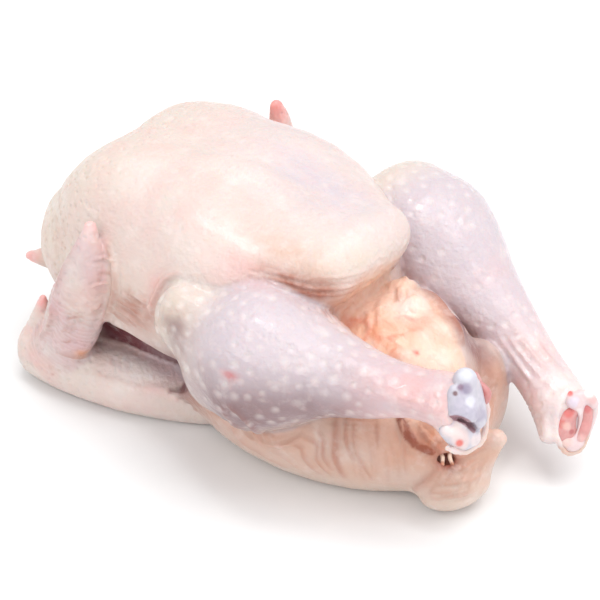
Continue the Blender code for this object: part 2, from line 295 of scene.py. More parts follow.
class Limb:
    """A closed form along a bent centreline, with rows of (t, half width, half height, lift)."""

    sides, rings, cap_rings = 36, 34, 8

    def __init__(self, start, end, girth, bow=(0, 0, 0), power=2.0, caps=(0.6, 0.6), up=UP):
        self.start, self.end = np.array(start, float), np.array(end, float)
        self.girth, self.bow = girth, np.array(bow, float)
        self.power, self.caps, self.up = power, caps, np.array(up, float)

    def centre(self, t):
        lift = rows_at(self.girth, t)[2]
        middle = self.start + (self.end - self.start) * t + self.bow * 4 * t * (1 - t)
        return middle + self.up * lift

    def axes(self, t, step=0.01):
        along = unit(self.centre(min(t + step, 1)) - self.centre(max(t - step, 0)))
        side = unit(np.cross(along, self.up))
        return along, side, np.cross(side, along)

    def ring(self, t, scale=1.0, push=0.0):
        half_width, half_height, _ = rows_at(self.girth, t)
        along, side, rise = self.axes(t)
        turn = 2 * pi * np.arange(self.sides) / self.sides
        c, s = np.cos(turn), np.sin(turn)
        x = np.sign(c) * np.abs(c) ** (2 / self.power) * half_width * scale
        y = np.sign(s) * np.abs(s) ** (2 / self.power) * half_height * scale
        return self.centre(t) + along * push + np.outer(x, side) + np.outer(y, rise)

    def mesh(self):
        """Points and triangles of the closed form."""
        first = self.caps[0] * min(self.girth[0][1:3])
        last = self.caps[1] * min(self.girth[-1][1:3])
        turns = pi / 2 * np.arange(1, self.cap_rings) / self.cap_rings
        rows = [self.ring(0, cos(a), -first * sin(a)) for a in turns[::-1]]
        rows += [self.ring(t) for t in np.linspace(0, 1, self.rings + 1)]
        rows += [self.ring(1, cos(a), last * sin(a)) for a in turns]
        poles = [
            self.centre(0) - self.axes(0)[0] * first,
            self.centre(1) + self.axes(1)[0] * last,
        ]
        n, count = self.sides, len(rows)
        k = np.arange(n)
        j = (k + 1) % n
        faces = []
        for row in range(count - 1):
            a, b = row * n, (row + 1) * n
            faces.append(np.stack((a + k, a + j, b + j), 1))
            faces.append(np.stack((a + k, b + j, b + k), 1))
        tail, tip, end = count * n, count * n + 1, (count - 1) * n
        faces.append(np.stack((j, k, np.full(n, tail)), 1))
        faces.append(np.stack((end + k, end + j, np.full(n, tip)), 1))
        return np.vstack(rows + poles), np.vstack(faces)

    def coords(self, points, samples=40):
        """Give t, the arc length and the angle round the centreline for each point."""
        ts = np.linspace(0, 1, samples)
        centres = np.array([self.centre(t) for t in ts])
        steps = np.linalg.norm(np.diff(centres, axis=0), axis=1)
        arc = np.concatenate(([0], np.cumsum(steps)))
        frames = np.array([self.axes(t) for t in ts])
        gap = (points**2).sum(1)[:, None] - 2 * points @ centres.T + (centres**2).sum(1)
        near = gap.argmin(1)
        off = points - centres[near]
        ahead = (off * frames[near, 0]).sum(1)
        mm = arc[near] + ahead
        angle = np.arctan2((off * frames[near, 2]).sum(1), (off * frames[near, 1]).sum(1))
        return mm / arc[-1], mm, angle


def mirrored(point):
    """Give the same point on the -Y side."""
    return (point[0], -point[1], point[2])


def body_limbs(size):
    """Carcass and breast lobes, which lean a little to the near side."""
    half, top = size.breast_width / 2, size.breast_height
    up = (0, -sin(BODY_LEAN), cos(BODY_LEAN))
    girth = [
        (0.00, half * 0.805, top * 0.33, top * 0.47),
        (0.10, half * 0.92, top * 0.41, top * 0.475),
        (0.27, half * 0.98, top * 0.49, top * 0.485),
        (0.46, half * 0.93, top * 0.475, top * 0.47),
        (0.64, half * 0.60, top * 0.34, top * 0.33),
        (0.82, half * 0.46, top * 0.25, top * 0.24),
        (1.00, half * 0.34, top * 0.18, top * 0.18),
    ]
    neck, rump = (NECK_X + 32, 0, 0), (NECK_X + size.body_length - 12, 0, 0)
    limbs = [Limb(neck, rump, girth, power=2.5, caps=(0.75, 0.45), up=up)]
    for side, wide, back, reach in ((-1, 0.64, 0.36, 0.12), (1, 0.69, 0.37, 0.14)):
        lobe = [
            (0.00, half * 0.25, top * 0.17, top * 0.50),
            (0.20, half * 0.55, top * 0.385, top * 0.566),
            (0.45, half * 0.63, top * 0.415, top * 0.578),
            (0.72, half * wide, top * 0.365, top * 0.645),
            (1.00, half * back, top * 0.12, top * 0.82),
        ]
        start = (NECK_X + 14, side * half * 0.34, 0)
        end = (33, side * half * reach, 0)
        limbs.append(Limb(start, end, lobe, power=2.4, caps=(0.6, 0.85), up=up))
    keel = [
        (0.00, half * 0.30, top * 0.16, top * 0.50),
        (0.20, half * 0.35, top * 0.37, top * 0.562),
        (0.45, half * 0.35, top * 0.405, top * 0.57),
        (0.72, half * 0.30, top * 0.355, top * 0.635),
        (1.00, half * 0.25, top * 0.10, top * 0.80),
    ]
    limbs.append(Limb((NECK_X + 14, 0, 0), (34, 0, 0), keel, caps=(0.6, 0.5), up=up))
    return limbs


def belly_limb(size):
    """The pad of fat and thin skin behind the breast."""
    half, top = size.breast_width / 2, size.breast_height
    girth = [
        (0.00, half * 0.55, top * 0.20, 0),
        (0.40, half * 0.54, top * 0.24, 0),
        (0.75, half * 0.46, top * 0.22, 0),
        (1.00, half * 0.36, top * 0.16, 0),
    ]
    return Limb((30, -3, 48), (77, 1, 46), girth)


def drum_limb(size, knee, hock, bow, tuck=0.0):
    """A drumstick from the knee to the flared cut at the hock, drawn up under the shank by tuck."""
    knee_r, shank, cut = size.knee_radius, size.shank_radius, size.hock_radius
    girth = [
        (0.00, knee_r * 0.89, knee_r * 0.89, 0),
        (0.14, knee_r, knee_r, 0),
        (0.28, knee_r * 0.86, knee_r * 0.84, 0),
        (0.44, knee_r * 0.62, knee_r * 0.56, 0),
        (0.62, shank * 1.18, shank * 1.02, 0),
        (0.78, shank, shank * 0.84 - tuck / 2, 0.8 + tuck / 2),
        (0.90, cut * 0.84, cut * 0.80 - tuck / 2, 1.2 + tuck / 2),
        (1.00, cut * 0.92, cut * 1.08, 0),
    ]
    return Limb(knee, hock, girth, bow=bow, power=2.1, caps=(0.7, 0.35))


def thigh_limb(side):
    """The thigh along the flank, resting on the board."""
    girth = [(0, 23, 25, 0), (0.3, 25, 26, 0), (0.65, 23, 25, 0), (1, 18, 21, 0)]
    front, back = (-6, side * 37, 30), (80, side * 14, 22)
    return Limb(front, back, girth, bow=(0, side * 7, -3), caps=(0.7, 0.7))


def wing_limbs(place, tip):
    """Upper arm, flat, hand and thumb of one wing."""
    arm = [(0, 12, 14, 0), (0.5, 9, 10, 0), (1, 10, 11, 0)]
    flat = [(0, 12, 13, 0), (0.35, 14, 14, 0), (0.75, 13, 14, 0), (1, 11, 14, 0)]
    hand = [(0, 10, 12, 0), (0.4, 9, 13.5, 0), (0.6, 8, 12, 0), (0.8, 5.6, 7.6, 0), (1, 2.6, 3.2, 0)]
    thumb = [(0, 8, 9, 0), (0.5, 5, 6.5, 0), (0.8, 3.2, 3.6, 0), (1, 1.6, 1.6, 0)]
    return {
        "arm": Limb(place(SHOULDER), place(ELBOW), arm, caps=(0.9, 0.9)),
        "flat": Limb(place(ELBOW), place(WRIST), flat, bow=place((0, 5, 0)), caps=(0.9, 0.9)),
        "hand": Limb(place(PALM), tip, hand, bow=place((7, 3, 0)), caps=(1, 1)),
        "thumb": Limb(place(WRIST), place(THUMB_TIP), thumb, caps=(1, 1.2)),
    }


def tail_limbs():
    """The tail's fat lobe and its point."""
    root = [(0, 26, 26, 0), (0.6, 20, 18, 0), (1, 15.5, 12.5, 0)]
    point = [(0, 12, 13, 0), (0.6, 8, 9, 0), (1, 4, 4, 0)]
    start = np.array(TAIL_END) + (-8, 8, 2)
    return [
        Limb(TAIL_ROOT, TAIL_END, root, caps=(0.8, 0.7)),
        Limb(start, TAIL_POINT, point, caps=(0.9, 0.9)),
    ]


def all_limbs(size):
    """Every form by name."""
    limbs = {}
    limbs["torso"], limbs["lobe_near"], limbs["lobe_far"], limbs["keel"] = body_limbs(size)
    limbs["belly"] = belly_limb(size)
    limbs["drum_near"] = drum_limb(size, NEAR_KNEE, NEAR_HOCK, (2, -3, 4), 3.5)
    limbs["drum_far"] = drum_limb(size, FAR_KNEE, FAR_HOCK, (2, 4, 3))
    limbs["thigh_near"], limbs["thigh_far"] = thigh_limb(-1), thigh_limb(1)
    for end, place, tip in (("near", mirrored, NEAR_TIP), ("far", tuple, FAR_TIP)):
        for name, limb in wing_limbs(place, tip).items():
            limbs[name + "_" + end] = limb
    limbs["tail"], limbs["tail_point"] = tail_limbs()
    nub = [(0, 9, 9, 0), (0.6, 5.5, 5.5, 0), (1, 2.2, 2.2, 0)]
    limbs["nub"] = Limb(NECK_ROOT, NECK_END, nub, caps=(0.6, 0.9))
    return limbs


# ---------------------------------------------------------------- the distance field


class Field:
    """A block of distances in millimetres on a regular grid."""

    band = 13

    def __init__(self, step, low=(-140, -98, -8), high=(142, 104, 126)):
        self.step = step
        self.base = np.floor(np.array(low) / step).astype(int)
        self.shape = tuple(np.ceil(np.array(high) / step).astype(int) - self.base)

    def of_mesh(self, points, faces):
        """Distances to a closed mesh, negative inside."""
        grid = vdb.FloatGrid.createLevelSetFromPolygons(
            points.astype(np.float32),
            triangles=faces.astype(np.uint32),
            transform=vdb.createLinearTransform(voxelSize=self.step),
            halfWidth=self.band,
        )
        block = np.empty(self.shape, np.float32)
        grid.copyToArray(block, ijk=tuple(int(i) for i in self.base))
        return block

    def axis(self, k):
        """The coordinate of each slice along one axis, shaped to broadcast."""
        values = (np.arange(self.shape[k]) + self.base[k]) * self.step
        shape = [1, 1, 1]
        shape[k] = -1
        return values.reshape(shape).astype(np.float32)

    def blob(self, centre, radii, axes=np.eye(3)):
        """Distances to an ellipsoid that lies along three given axes."""
        total = sum(
            (self.plane(centre, axis) / radius) ** 2 for axis, radius in zip(axes, radii)
        )
        return (np.sqrt(total) - 1) * min(radii)

    def plane(self, centre, normal):
        """Distances along a direction from a point."""
        return sum((self.axis(k) - centre[k]) * float(normal[k]) for k in range(3))

    def surface(self, block):
        """Points and quads where the distance is zero."""
        grid = vdb.FloatGrid(float(self.band * self.step))
        grid.copyFromArray(block, ijk=tuple(int(i) for i in self.base))
        grid.transform = vdb.createLinearTransform(voxelSize=self.step)
        points, quads = grid.convertToQuads()
        return points.astype(float), quads.astype(int)

    def sample(self, block, points):
        """Read distances at points, between grid values."""
        at = points / self.step - self.base
        low = np.clip(np.floor(at).astype(int), 0, np.array(self.shape) - 2)
        part = np.clip(at - low, 0, 1)
        i, j, k = low.T
        value = 0.0
        for a in (0, 1):
            for b in (0, 1):
                for c in (0, 1):
                    weight = np.abs(1 - a - part[:, 0]) * np.abs(1 - b - part[:, 1])
                    weight = weight * np.abs(1 - c - part[:, 2])
                    value = value + weight * block[i + a, j + b, k + c]
        return value


def turned(turn):
    """Three axes turned about Z."""
    return np.array(((cos(turn), sin(turn), 0), (-sin(turn), cos(turn), 0), (0, 0, 1)))


def join(a, b, soft):
    """Unite two distance blocks with a fillet of that softness."""
    soft = np.maximum(soft, 1e-3)
    h = np.maximum(soft - np.abs(a - b), 0) / soft
    return np.minimum(a, b) - h * h * soft / 4


def cut(a, b, soft):
    """Take b out of a with a rounded rim."""
    return -join(-a, b, soft)


def on_cut(end, across, up, off):
    """The point of a hock's slanting cut that shows there from the front, raised off the cut."""
    middle, normal = (np.array(v, float) for v in CUTS[end])
    point = middle + across * VIEW_AXES[0] + up * VIEW_AXES[1]
    point = point + VIEW_AXES[2] * ((middle - point) @ normal / (VIEW_AXES[2] @ normal))
    return point + normal * off


def chain(field, end, run, stretch=(1, 1, 1), count=5):
    """Distances to a run of balls on a hock's cut, placed and sized smoothly from row to row."""
    rows = [(i, *row) for i, row in enumerate(run)]
    block = None
    for t in np.linspace(0, len(run) - 1, count * (len(run) - 1) + 1):
        across, up, off, radius = rows_at(rows, t)
        radii = [radius * k for k in stretch]
        ball = field.blob(on_cut(end, across, up, off), radii, VIEW_AXES)
        block = ball if block is None else np.minimum(block, ball)
    return block


def blurred(block, reach):
    """Average a block over a cube, three times for a smooth fall-off."""
    for _ in range(3):
        for axis in range(3):
            pad = [(0, 0)] * 3
            pad[axis] = (reach + 1, reach)
            total = np.cumsum(np.pad(block, pad, mode="edge"), axis=axis, dtype=np.float64)
            n = block.shape[axis]
            upper = np.take(total, range(2 * reach + 1, 2 * reach + 1 + n), axis=axis)
            lower = np.take(total, range(0, n), axis=axis)
            block = ((upper - lower) / (2 * reach + 1)).astype(np.float32)
    return block


def ramp(x, low, high):
    """Rise smoothly from 0 at low to 1 at high."""
    s = np.clip((x - low) / (high - low), 0, 1)
    return s * s * (3 - 2 * s)


def spot(points, centre, radii):
    """A soft ellipsoidal patch, 1 at its centre."""
    reach = (((points - np.array(centre)) / np.array(radii)) ** 2).sum(1)
    return np.exp(-reach)


LATTICE = 32
NOISE_TABLE = np.random.default_rng(7).uniform(-1, 1, (LATTICE, LATTICE, LATTICE))


def noise(points, grain, shift=0.0):
    """Smooth random values between about -1 and 1, with lumps of that size."""
    at = points / grain + shift
    low = np.floor(at).astype(int)
    part = at - low
    part = part**3 * (part * (part * 6 - 15) + 10)
    value = 0.0
    for a in (0, 1):
        for b in (0, 1):
            for c in (0, 1):
                weight = np.abs(1 - a - part[:, 0]) * np.abs(1 - b - part[:, 1])
                weight = weight * np.abs(1 - c - part[:, 2])
                i, j, k = ((low[:, n] + d) % LATTICE for n, d in ((0, a), (1, b), (2, c)))
                value = value + weight * NOISE_TABLE[i, j, k]
    return value


def folds(phase, sharp=2.0):
    """A run of rounded ridges and narrow valleys, from -1 in a valley to 0 on a ridge."""
    return -np.abs(np.cos(phase * pi)) ** sharp


class Bird:
    """The bird's forms, fused, with what the relief and the colours need to know."""

    def __init__(self, size):
        self.size = size
        self.limbs = all_limbs(size)
        self.field = Field(size.voxel)
        self.blocks = {n: self.field.of_mesh(*limb.mesh()) for n, limb in self.limbs.items()}
        self.skin = self.fuse()
        self.broad = blurred(np.clip(self.skin, -7, 7), 3)

    def fuse(self):
        """Unite the forms, soft where skin stretches over a join and crisp in a fold."""
        b = self.blocks
        breast = join(join(b["lobe_near"], b["lobe_far"], 7), b["keel"], 4)
        body = blurred(join(b["torso"], breast, 4), 1)
        for side in (-1, 1):
            body = join(body, self.field.blob((-91, side * 28, 56), (28, 28, 26)), 6)
            body = cut(body, self.field.blob((-34, side * 60, 36.5), (39, 24, 14)), 5)
        b["fat"] = self.fat_lobes()
        belly = join(b["belly"], b["fat"], 3)
        thighs = np.minimum(b["thigh_near"], b["thigh_far"])
        tail = join(b["tail"], b["tail_point"], 5)
        body = join(body, thighs, 5)
        body = join(body, self.field.blob((80, 21, 34), (14, 13, 20)), 6)
        body = join(body, tail, 4)
        body = join(body, belly, 1.5)
        for end, side in (("near", -1), ("far", 1)):
            roll = self.field.blob((-9, side * 63, 73), (12, 12, 15))
            if end == "near":
                b["drum_" + end] = join(b["drum_" + end], roll, 9)
            body = join(body, b["arm_" + end], 4)
            body = join(body, b["drum_" + end], 1.5)
            wing = join(b["flat_" + end], b["hand_" + end], 4)
            wing = join(wing, b["thumb_" + end], 2)
            body = join(body, wing, 1.5)
        body = join(body, b["nub"], 4)
        body = cut(body, self.field.blob(VENT, (4.4, 3.2, 2.6), turned(radians(20))), 1)
        for end in CUT_RIMS:
            middle, normal = CUTS[end]
            beyond = np.maximum(
                self.field.blob(middle, (24, 24, 24)), -self.field.plane(middle, normal)
            )
            body = cut(body, beyond, 2)
            body = join(body, chain(self.field, end, CUT_RIMS[end]), 1.2)
        return cut(body, self.field.axis(2) + 0 * body, 2.5)

    def fat_lobes(self):
        """Lobes of fat that swell through the belly's skin."""
        lobes = (
            ((60, 4, 71), (12, 10, 8)),
            ((52, -8, 66), (12, 12, 9)),
            ((72, 5, 64), (10, 10, 9)),
            ((78, -1, 56), (9, 13, 9)),
            ((81, 5, 47), (8, 10, 9)),
            ((66, -14, 60), (12, 10, 9)),
            ((49, 9, 72), (8, 6, 7)),
        )
        block = None
        for centre, radii in lobes:
            blob = self.field.blob(centre, radii, turned(0.3))
            block = blob if block is None else join(block, blob, 4)
        return block

    def distance(self, name, points):
        return self.field.sample(self.blocks[name], points)

    def settled(self, points):
        """Move points near the skin straight onto it."""
        for _ in range(4):
            slope = np.stack(
                [
                    self.field.sample(self.skin, points + step) - self.field.sample(self.skin, points - step)
                    for step in np.eye(3)
                ],
                1,
            )
            gap = np.clip(self.field.sample(self.skin, points), -4, 4)
            points = points - unit(slope) * gap[:, None]
        return points

    def valley(self, points):
        """How hollow the form is around each point: above 0 in a fold, below on a ridge."""
        return -self.field.sample(self.broad, points)


# ---------------------------------------------------------------- folds


# Runs of folds: first and last guide line over the skin, number, width, depth, and how dark the valley is
# painted (painted shade in most folds, the raw flesh of the gash beside the vent)
FLANK_FOLDS = (
    # Web of skin stretched between the wing and the knee
    (((-45, 65, 75), (-32, 66, 75), (-20, 67, 74)), ((-50, 67, 60), (-40, 68, 59), (-27, 68, 57)),
     9, 1.0, 1.0, 0.75),
    # Rows of bumps that pull together at the neck
    (((-104, 40, 70), (-98, 50, 62), (-92, 60, 56)), ((-100, 30, 84), (-88, 50, 78), (-76, 62, 70)),
     4, 1.6, 0.4, 0.15),
)
KNEE_FOLDS = (
    # Seam where the knee's skin rolls over the flank
    (((-15, 58, 91), (-21, 62, 86), (-23, 64, 79), (-24, 67, 71), (-13, 73, 68)), None,
     1, 1.3, 1.5, 0.85),
    (((-17, 66, 84), (-15, 70, 78), (-17, 72, 71)), ((-10, 69, 86), (-9, 73, 79), (-10, 75, 71)),
     3, 1.1, 0.6, 0.25),
    # Slack skin down the knee
    (((-9, 70, 86), (-5, 74, 77), (6, 79, 67)), ((6, 69, 89), (9, 76, 77), (24, 82, 63)),
     5, 2.2, 0.35, 0.1),
)
THIGH_FOLDS = (
    # Long folds that follow the drumstick's lower edge and sweep down under it
    (((30, 81, 60), (36, 75, 50), (33, 60, 33), (43, 53, 36)), None, 1, 1.2, 1.0, 0.5),
    (((26, 80, 56), (30, 72, 41), (32, 59, 28), (42, 55, 33)), None, 1, 1.2, 0.9, 0.4),
    (((28, 78, 48), (27, 62, 27), (38, 58, 26), (46, 53, 33)), None, 1, 1.3, 1.1, 0.55),
    (((18, 70, 38), (20, 61, 27), (30, 59, 23), (39, 57, 20), (44, 54, 14)), None, 1, 1.3, 1.0, 0.45),
    (((13, 66, 30), (18, 62, 20), (30, 60, 16), (40, 56, 11)), None, 1, 1.2, 0.8, 0.35),
    (((39, 57, 28), (46, 55, 27), (48, 54, 21), (54, 50, 13)), None, 1, 1.2, 1.1, 0.6),
    (((45, 54, 32), (52, 52, 30), (53, 52, 22), (59, 48, 13)), None, 1, 1.2, 1.0, 0.6),
    (((51, 49, 36), (54, 50, 31), (55, 51, 25), (59, 49, 17)), None, 1, 1.1, 1.0, 0.7),
    (((55, 43, 42), (58, 47, 34), (60, 49, 25), (63, 46, 14)), None, 1, 1.2, 1.0, 0.8),
    (((59, 40, 43), (62, 45, 34), (67, 45, 25)), None, 1, 1.0, 0.8, 0.8),
    (((61, 39, 42), (66, 44, 31), (71, 43, 22), (73, 40, 15)), None, 1, 1.1, 0.9, 0.8),
    (((68, 33, 43), (71, 36, 37), (73, 38, 31)), None, 1, 1.0, 0.6, 0.6),
    (((76, 27, 43), (81, 31, 35), (85, 34, 20)), None, 1, 1.3, 0.9, 0.6),
    # Faint ones between them
    (((62, 42, 40), (66, 45, 28), (68, 43, 12)), ((76, 32, 40), (84, 36, 26), (84, 36, 12)),
     7, 0.9, 0.3, 0.25),
)
BREAST_FOLDS = (
    # Fine pleats along the breast's rim
    (((0, -49, 97), (14, -42, 99), (30, -36, 99), (41, -22, 96), (44, -2, 92)),
     ((11, -45, 95), (24, -42, 93), (39, -36, 92), (45, -21, 88), (46, 0, 84)), 11, 0.7, 0.35, 0.4),
    # Shallow groove over the keel
    (((-58, -14, 112), (-38, -12, 114), (-20, -6, 113), (-6, -4, 110), (10, -5, 107), (28, -9, 104)),
     None, 1, 4.5, 1.0, 0.1),
    # Skin gathered under the rim and over the fat
    (((41, -35, 90), (42, -36, 85), (46, -38, 84)), ((43, -4, 79), (51, -14, 75), (60, -28, 76)),
     9, 0.9, 0.6, 0.6),
    # Two slits and a tag of skin beside the far leg
    (((35, 27, 74), (43, 17, 77), (50, 8, 79)), None, 1, 1.4, 1.6, 1.0),
    (((49, 5, 78), (54, -2, 77)), None, 1, 1.2, 1.6, 1.0),
    (((49, 10, 80), (57, 7, 79)), None, 1, 1.6, -1.4, 0.0),
    # Crevice between the fat and the far leg, its valley darkened as painted shade
    (((57, 12, 78), (68, 9, 76), (77, 7, 72), (84, 5, 64)), None, 1, 2.0, 2.6, 1.5),
)
TAIL_FOLDS = (
    # Crease between the thigh and the tail
    (((87, -33, 12), (94, -31, 21), (95, -24, 24)), None, 1, 1.6, 1.4, 0.7),
    # Red-brown gash beside the vent
    (((74, -27, 46), (79, -28, 39), (85, -29, 35), (93, -25, 31)), None, 1, 1.5, 2.4, 3.0),
    (((84, -26, 42), (90, -25, 37), (95, -23, 31)), None, 1, 0.9, 0.9, 1.2),
    # Wrinkles over the tail
    (((93, -22, 24), (104, -17, 29), (110, -5, 34)), ((94, -35, 13), (105, -30, 15), (113, -18, 16)),
     9, 1.0, 0.8, 0.5),
    (((96, -20, 28), (98, -26, 22), (97, -33, 14)), ((110, -10, 32), (112, -14, 24), (111, -20, 15)),
     5, 1.2, 0.6, 0.4),
)
LEG_FOLDS = (
    # Lines along both shanks
    (((84, -53, 70), (96, -48, 69), (108, -46, 66)), ((84, -52, 75), (96, -46, 76), (107, -43, 76)),
     4, 0.9, 0.4, 0.25),
    (((78, 32, 53), (97, 28, 44), (112, 24, 38)), ((86, 44, 52), (102, 40, 45), (118, 36, 42)),
     7, 1.0, 0.4, 0.3),
)
WING_FOLDS = (
    # Creases where the hand lies against the flank, and its wrinkles
    (((-55, 60, 88), (-48, 64, 79), (-46, 66, 70), (-50, 67, 57), (-56, 69, 46)), None, 1, 1.3, 1.2, 1.1),
    (((-64, 67, 94), (-66, 72, 84), (-70, 75, 71), (-75, 76, 57)), None, 1, 1.4, 1.4, 0.5),
    (((-75, 78, 37), (-66, 77, 41), (-60, 75, 46)), ((-66, 77, 55), (-61, 76, 57), (-56, 74, 60)),
     5, 0.8, 0.8, 0.8),
    (((-58, 71, 60), (-53, 68, 62), (-49, 66, 64)), ((-56, 68, 82), (-51, 65, 82), (-48, 63, 82)),
     5, 0.8, 0.7, 0.5),
    # Skin pulled together where the hand meets the flat
    (((-64, 67, 27), (-67, 74, 30), (-73, 77, 31)), None, 1, 1.5, 1.6, 1.0),
    (((-33, 62, 19), (-21, 59, 22), (-14, 58, 25)), ((-62, 70, 22), (-52, 69, 22), (-44, 66, 21)),
     6, 1.2, 0.4, 0.2),
    # Deep crease between thumb and hand
    (((-76, 75, 54), (-74, 77, 50), (-79, 77, 39), (-86, 76, 30)), None, 1, 1.4, 1.9, 0.9),
    # Slack skin at the elbow
    (((-27, 59, 17), (-22, 60, 22), (-15, 58, 26)), ((-15, 53, 10), (-9, 54, 16), (-4, 54, 22)),
     5, 1.0, 0.5, 0.35),
)
NOISE_SEED = 7


def smooth_line(path, count=14):
    """Evenly spaced points along a smooth line through a few points."""
    rows = [(i, *point) for i, point in enumerate(path)]
    return np.array([rows_at(rows, t) for t in np.linspace(0, len(path) - 1, count)])


def fold_lines(runs, side=1):
    """Single folds from runs of folds: each lies between two guides, with uneven ends and sizes."""
    chance = np.random.default_rng(NOISE_SEED)
    flip = np.array((1, side, 1))
    lines = []
    for first, last, count, width, depth, stain_and_shade in runs:
        a = smooth_line(first) * flip
        b = smooth_line(last) * flip if last else a
        for i in range(count):
            share = (i + chance.uniform(-0.35, 0.35)) / max(count - 1, 1) if count > 1 else 0
            line = a + (b - a) * share
            if count > 1:
                start, end = chance.uniform(0, 0.3), chance.uniform(0.7, 1)
                at = np.linspace(start, end, len(line)) * (len(line) - 1)
                line = np.stack([np.interp(at, np.arange(len(line)), line[:, k]) for k in range(3)], 1)
                line = line + chance.normal(0, 0.45, 3) + np.outer(
                    np.sin(np.linspace(0, chance.uniform(2, 5), len(line))), chance.normal(0, 0.6, 3)
                )
            uneven = chance.uniform(0.7, 1.25)
            lines.append((line, width * uneven, depth * chance.uniform(0.5, 1.2), stain_and_shade * uneven))
    return lines


def line_distance(points, line):
    """Distance to a line of points, and how far along it, from 0 to 1."""
    best = np.full(len(points), 1e9)
    along = np.zeros(len(points))
    for i, (a, b) in enumerate(zip(line[:-1], line[1:])):
        step = b - a
        share = np.clip((points - a) @ step / max(step @ step, 1e-9), 0, 1)
        gap = ((points - a - share[:, None] * step) ** 2).sum(1)
        closer = gap < best
        best = np.where(closer, gap, best)
        along = np.where(closer, (i + share) / (len(line) - 1), along)
    return np.sqrt(best), along


def add_folds(bird, points, lines, height, groove):
    """Press each fold into the skin: a narrow valley between two puffed edges."""
    for line, width, depth, stain_and_shade in lines:
        line = bird.settled(line)
        reach = width * 4
        near = ((points > line.min(0) - reach) & (points < line.max(0) + reach)).all(1)
        near = np.flatnonzero(near)
        if len(near) == 0:
            continue
        gap, along = line_distance(points[near], line)
        taper = np.sqrt(np.clip(np.sin(along * pi), 0, 1)) if len(lines) > 1 else 1.0
        gap = gap / width
        valley = np.exp(-(gap**2)) * taper
        puffed = np.exp(-((gap - 2.1) ** 2)) * taper
        height[near] += depth * (0.35 * puffed - valley)
        # The valley's darkening is painted shade in most folds and raw flesh in the gash
        groove[near] = np.maximum(groove[near], np.minimum(valley * stain_and_shade, 1))


def all_folds():
    """Every fold on both sides of the bird."""
    lines = fold_lines(BREAST_FOLDS) + fold_lines(TAIL_FOLDS) + fold_lines(LEG_FOLDS)
    for side in (-1, 1):
        for runs in (FLANK_FOLDS, KNEE_FOLDS, THIGH_FOLDS, WING_FOLDS):
            lines += fold_lines(runs, side)
    return lines


# ---------------------------------------------------------------- relief and regions


def near_surface(bird, name, points, reach=3.0):
    """1 where a point lies on that form, fading out within reach of it."""
    return 1 - ramp(bird.distance(name, points), reach * 0.35, reach)


def relief(bird, points):
    """Heights in millimetres of folds, wrinkles and swellings, and how deep in a groove."""
    height = 0.5 * noise(points, 26) + 0.25 * noise(points, 9, 3.3)
    groove = np.zeros(len(points))
    wobble = noise(points, 13, 1.7)
    ragged = noise(points, 5, 5.1)
    patches = ramp(noise(points, 16, 8.2), -0.5, 0.5)
    x, y, z = points.T
    for end in ("near", "far"):
        drum = near_surface(bird, "drum_" + end, points, 4)
        t, mm, _ = bird.limbs["drum_" + end].coords(points)
        height *= 1 - 0.6 * drum * (1 - ramp(t, 0.5, 0.8))

        # The wing's hand is ringed with ragged ridges that end in ruffles along its edge
        hand = near_surface(bird, "hand_" + end, points, 3)
        th, mh, _ = bird.limbs["hand_" + end].coords(points)
        rings = folds(mh / 2.5 + wobble * 1.3 + ragged * 0.5, 1.5)
        where = hand * ramp(th, -0.1, 0.05) * (1 - ramp(th, 0.5, 0.75)) * (0.35 + 0.65 * patches)
        height += 0.5 * rings * where
        # The valleys between the ridges are darkened later as painted shade
        groove += 0.35 * np.clip(-rings, 0, 1) ** 2 * where

        # The flat has fine slanting wrinkles
        flat = near_surface(bird, "flat_" + end, points, 3) * (1 - hand)
        _, mf, af = bird.limbs["flat_" + end].coords(points)
        lines = folds(mf / 3.6 + af * 1.2 + wobble * 1.6 + ragged * 0.6, 2)
        height += 0.22 * lines * flat * patches

        # Rings of slack skin above the cut hock
        ring = ramp(t, 0.8, 0.86) * (1 - ramp(t, 0.93, 0.97)) * drum
        height += 0.35 * folds(mm / 3.2 + wobble * 1.2 + ragged * 0.5, 2) * ring * patches

        # Slack skin creases finely across the thigh and round the tail
        thigh = near_surface(bird, "thigh_" + end, points, 5) * (1 - drum)
        _, ml, al = bird.limbs["thigh_" + end].coords(points)
        height += 0.22 * folds(al * 7 + wobble * 1.1 + ragged * 0.5, 1.6) * thigh * patches
        # Fine creases run round the breast's rim
        lines = folds((z + 0.35 * x) / 3.1 + wobble * 2.6 + ragged * 1.1, 1.5)
        rim = ramp(x, -15, 12) * ramp(104 - z, 0, 10) * ramp(z, 70, 78) * (1 - drum)
        height += 0.18 * lines * rim * patches

    # Fat swells in small lobes
    fat = fat_region(bird, points)
    lobes = np.abs(noise(points, 9, 2.2)) + 0.45 * np.abs(noise(points, 4.2, 6.4))
    height += fat * (1.3 * np.minimum(lobes, 0.7) - 0.45)
    # The gaps between lobes are darkened later as painted shade
    groove += fat * (1 - ramp(lobes, 0.0, 0.14)) * 0.25
    # Torn, crumbly tissue beside the vent
    torn = spot(points, (88, -24, 38), (10, 7, 8))
    crumbs = noise(points, 2.9, 4.9)
    height += 1.0 * torn * crumbs
    groove += torn * 0.75 * ramp(-crumbs, 0.0, 0.45)
    add_folds(bird, points, all_folds(), height, groove)
    return height, np.clip(groove, 0, 1)


def fat_region(bird, points):
    """Where the belly's fat shows."""
    on = np.maximum(near_surface(bird, "belly", points, 8), near_surface(bird, "fat", points, 8))
    x, y, z = points.T
    clear = ramp(bird.distance("drum_near", points), 1, 4)
    clear = clear * ramp(bird.distance("drum_far", points), 1, 4)
    clear = clear * ramp(bird.distance("thigh_far", points), -4, 2)
    left_of_leg = 1 - ramp(y + 0.25 * (x - 60), 7, 10)
    on = np.maximum(on, 1.2 * spot(points, (44, -12, 79), (10, 16, 8)))
    return np.minimum(on, 1) * clear * left_of_leg * ramp(x, 31, 39) * ramp(z, 36, 44)


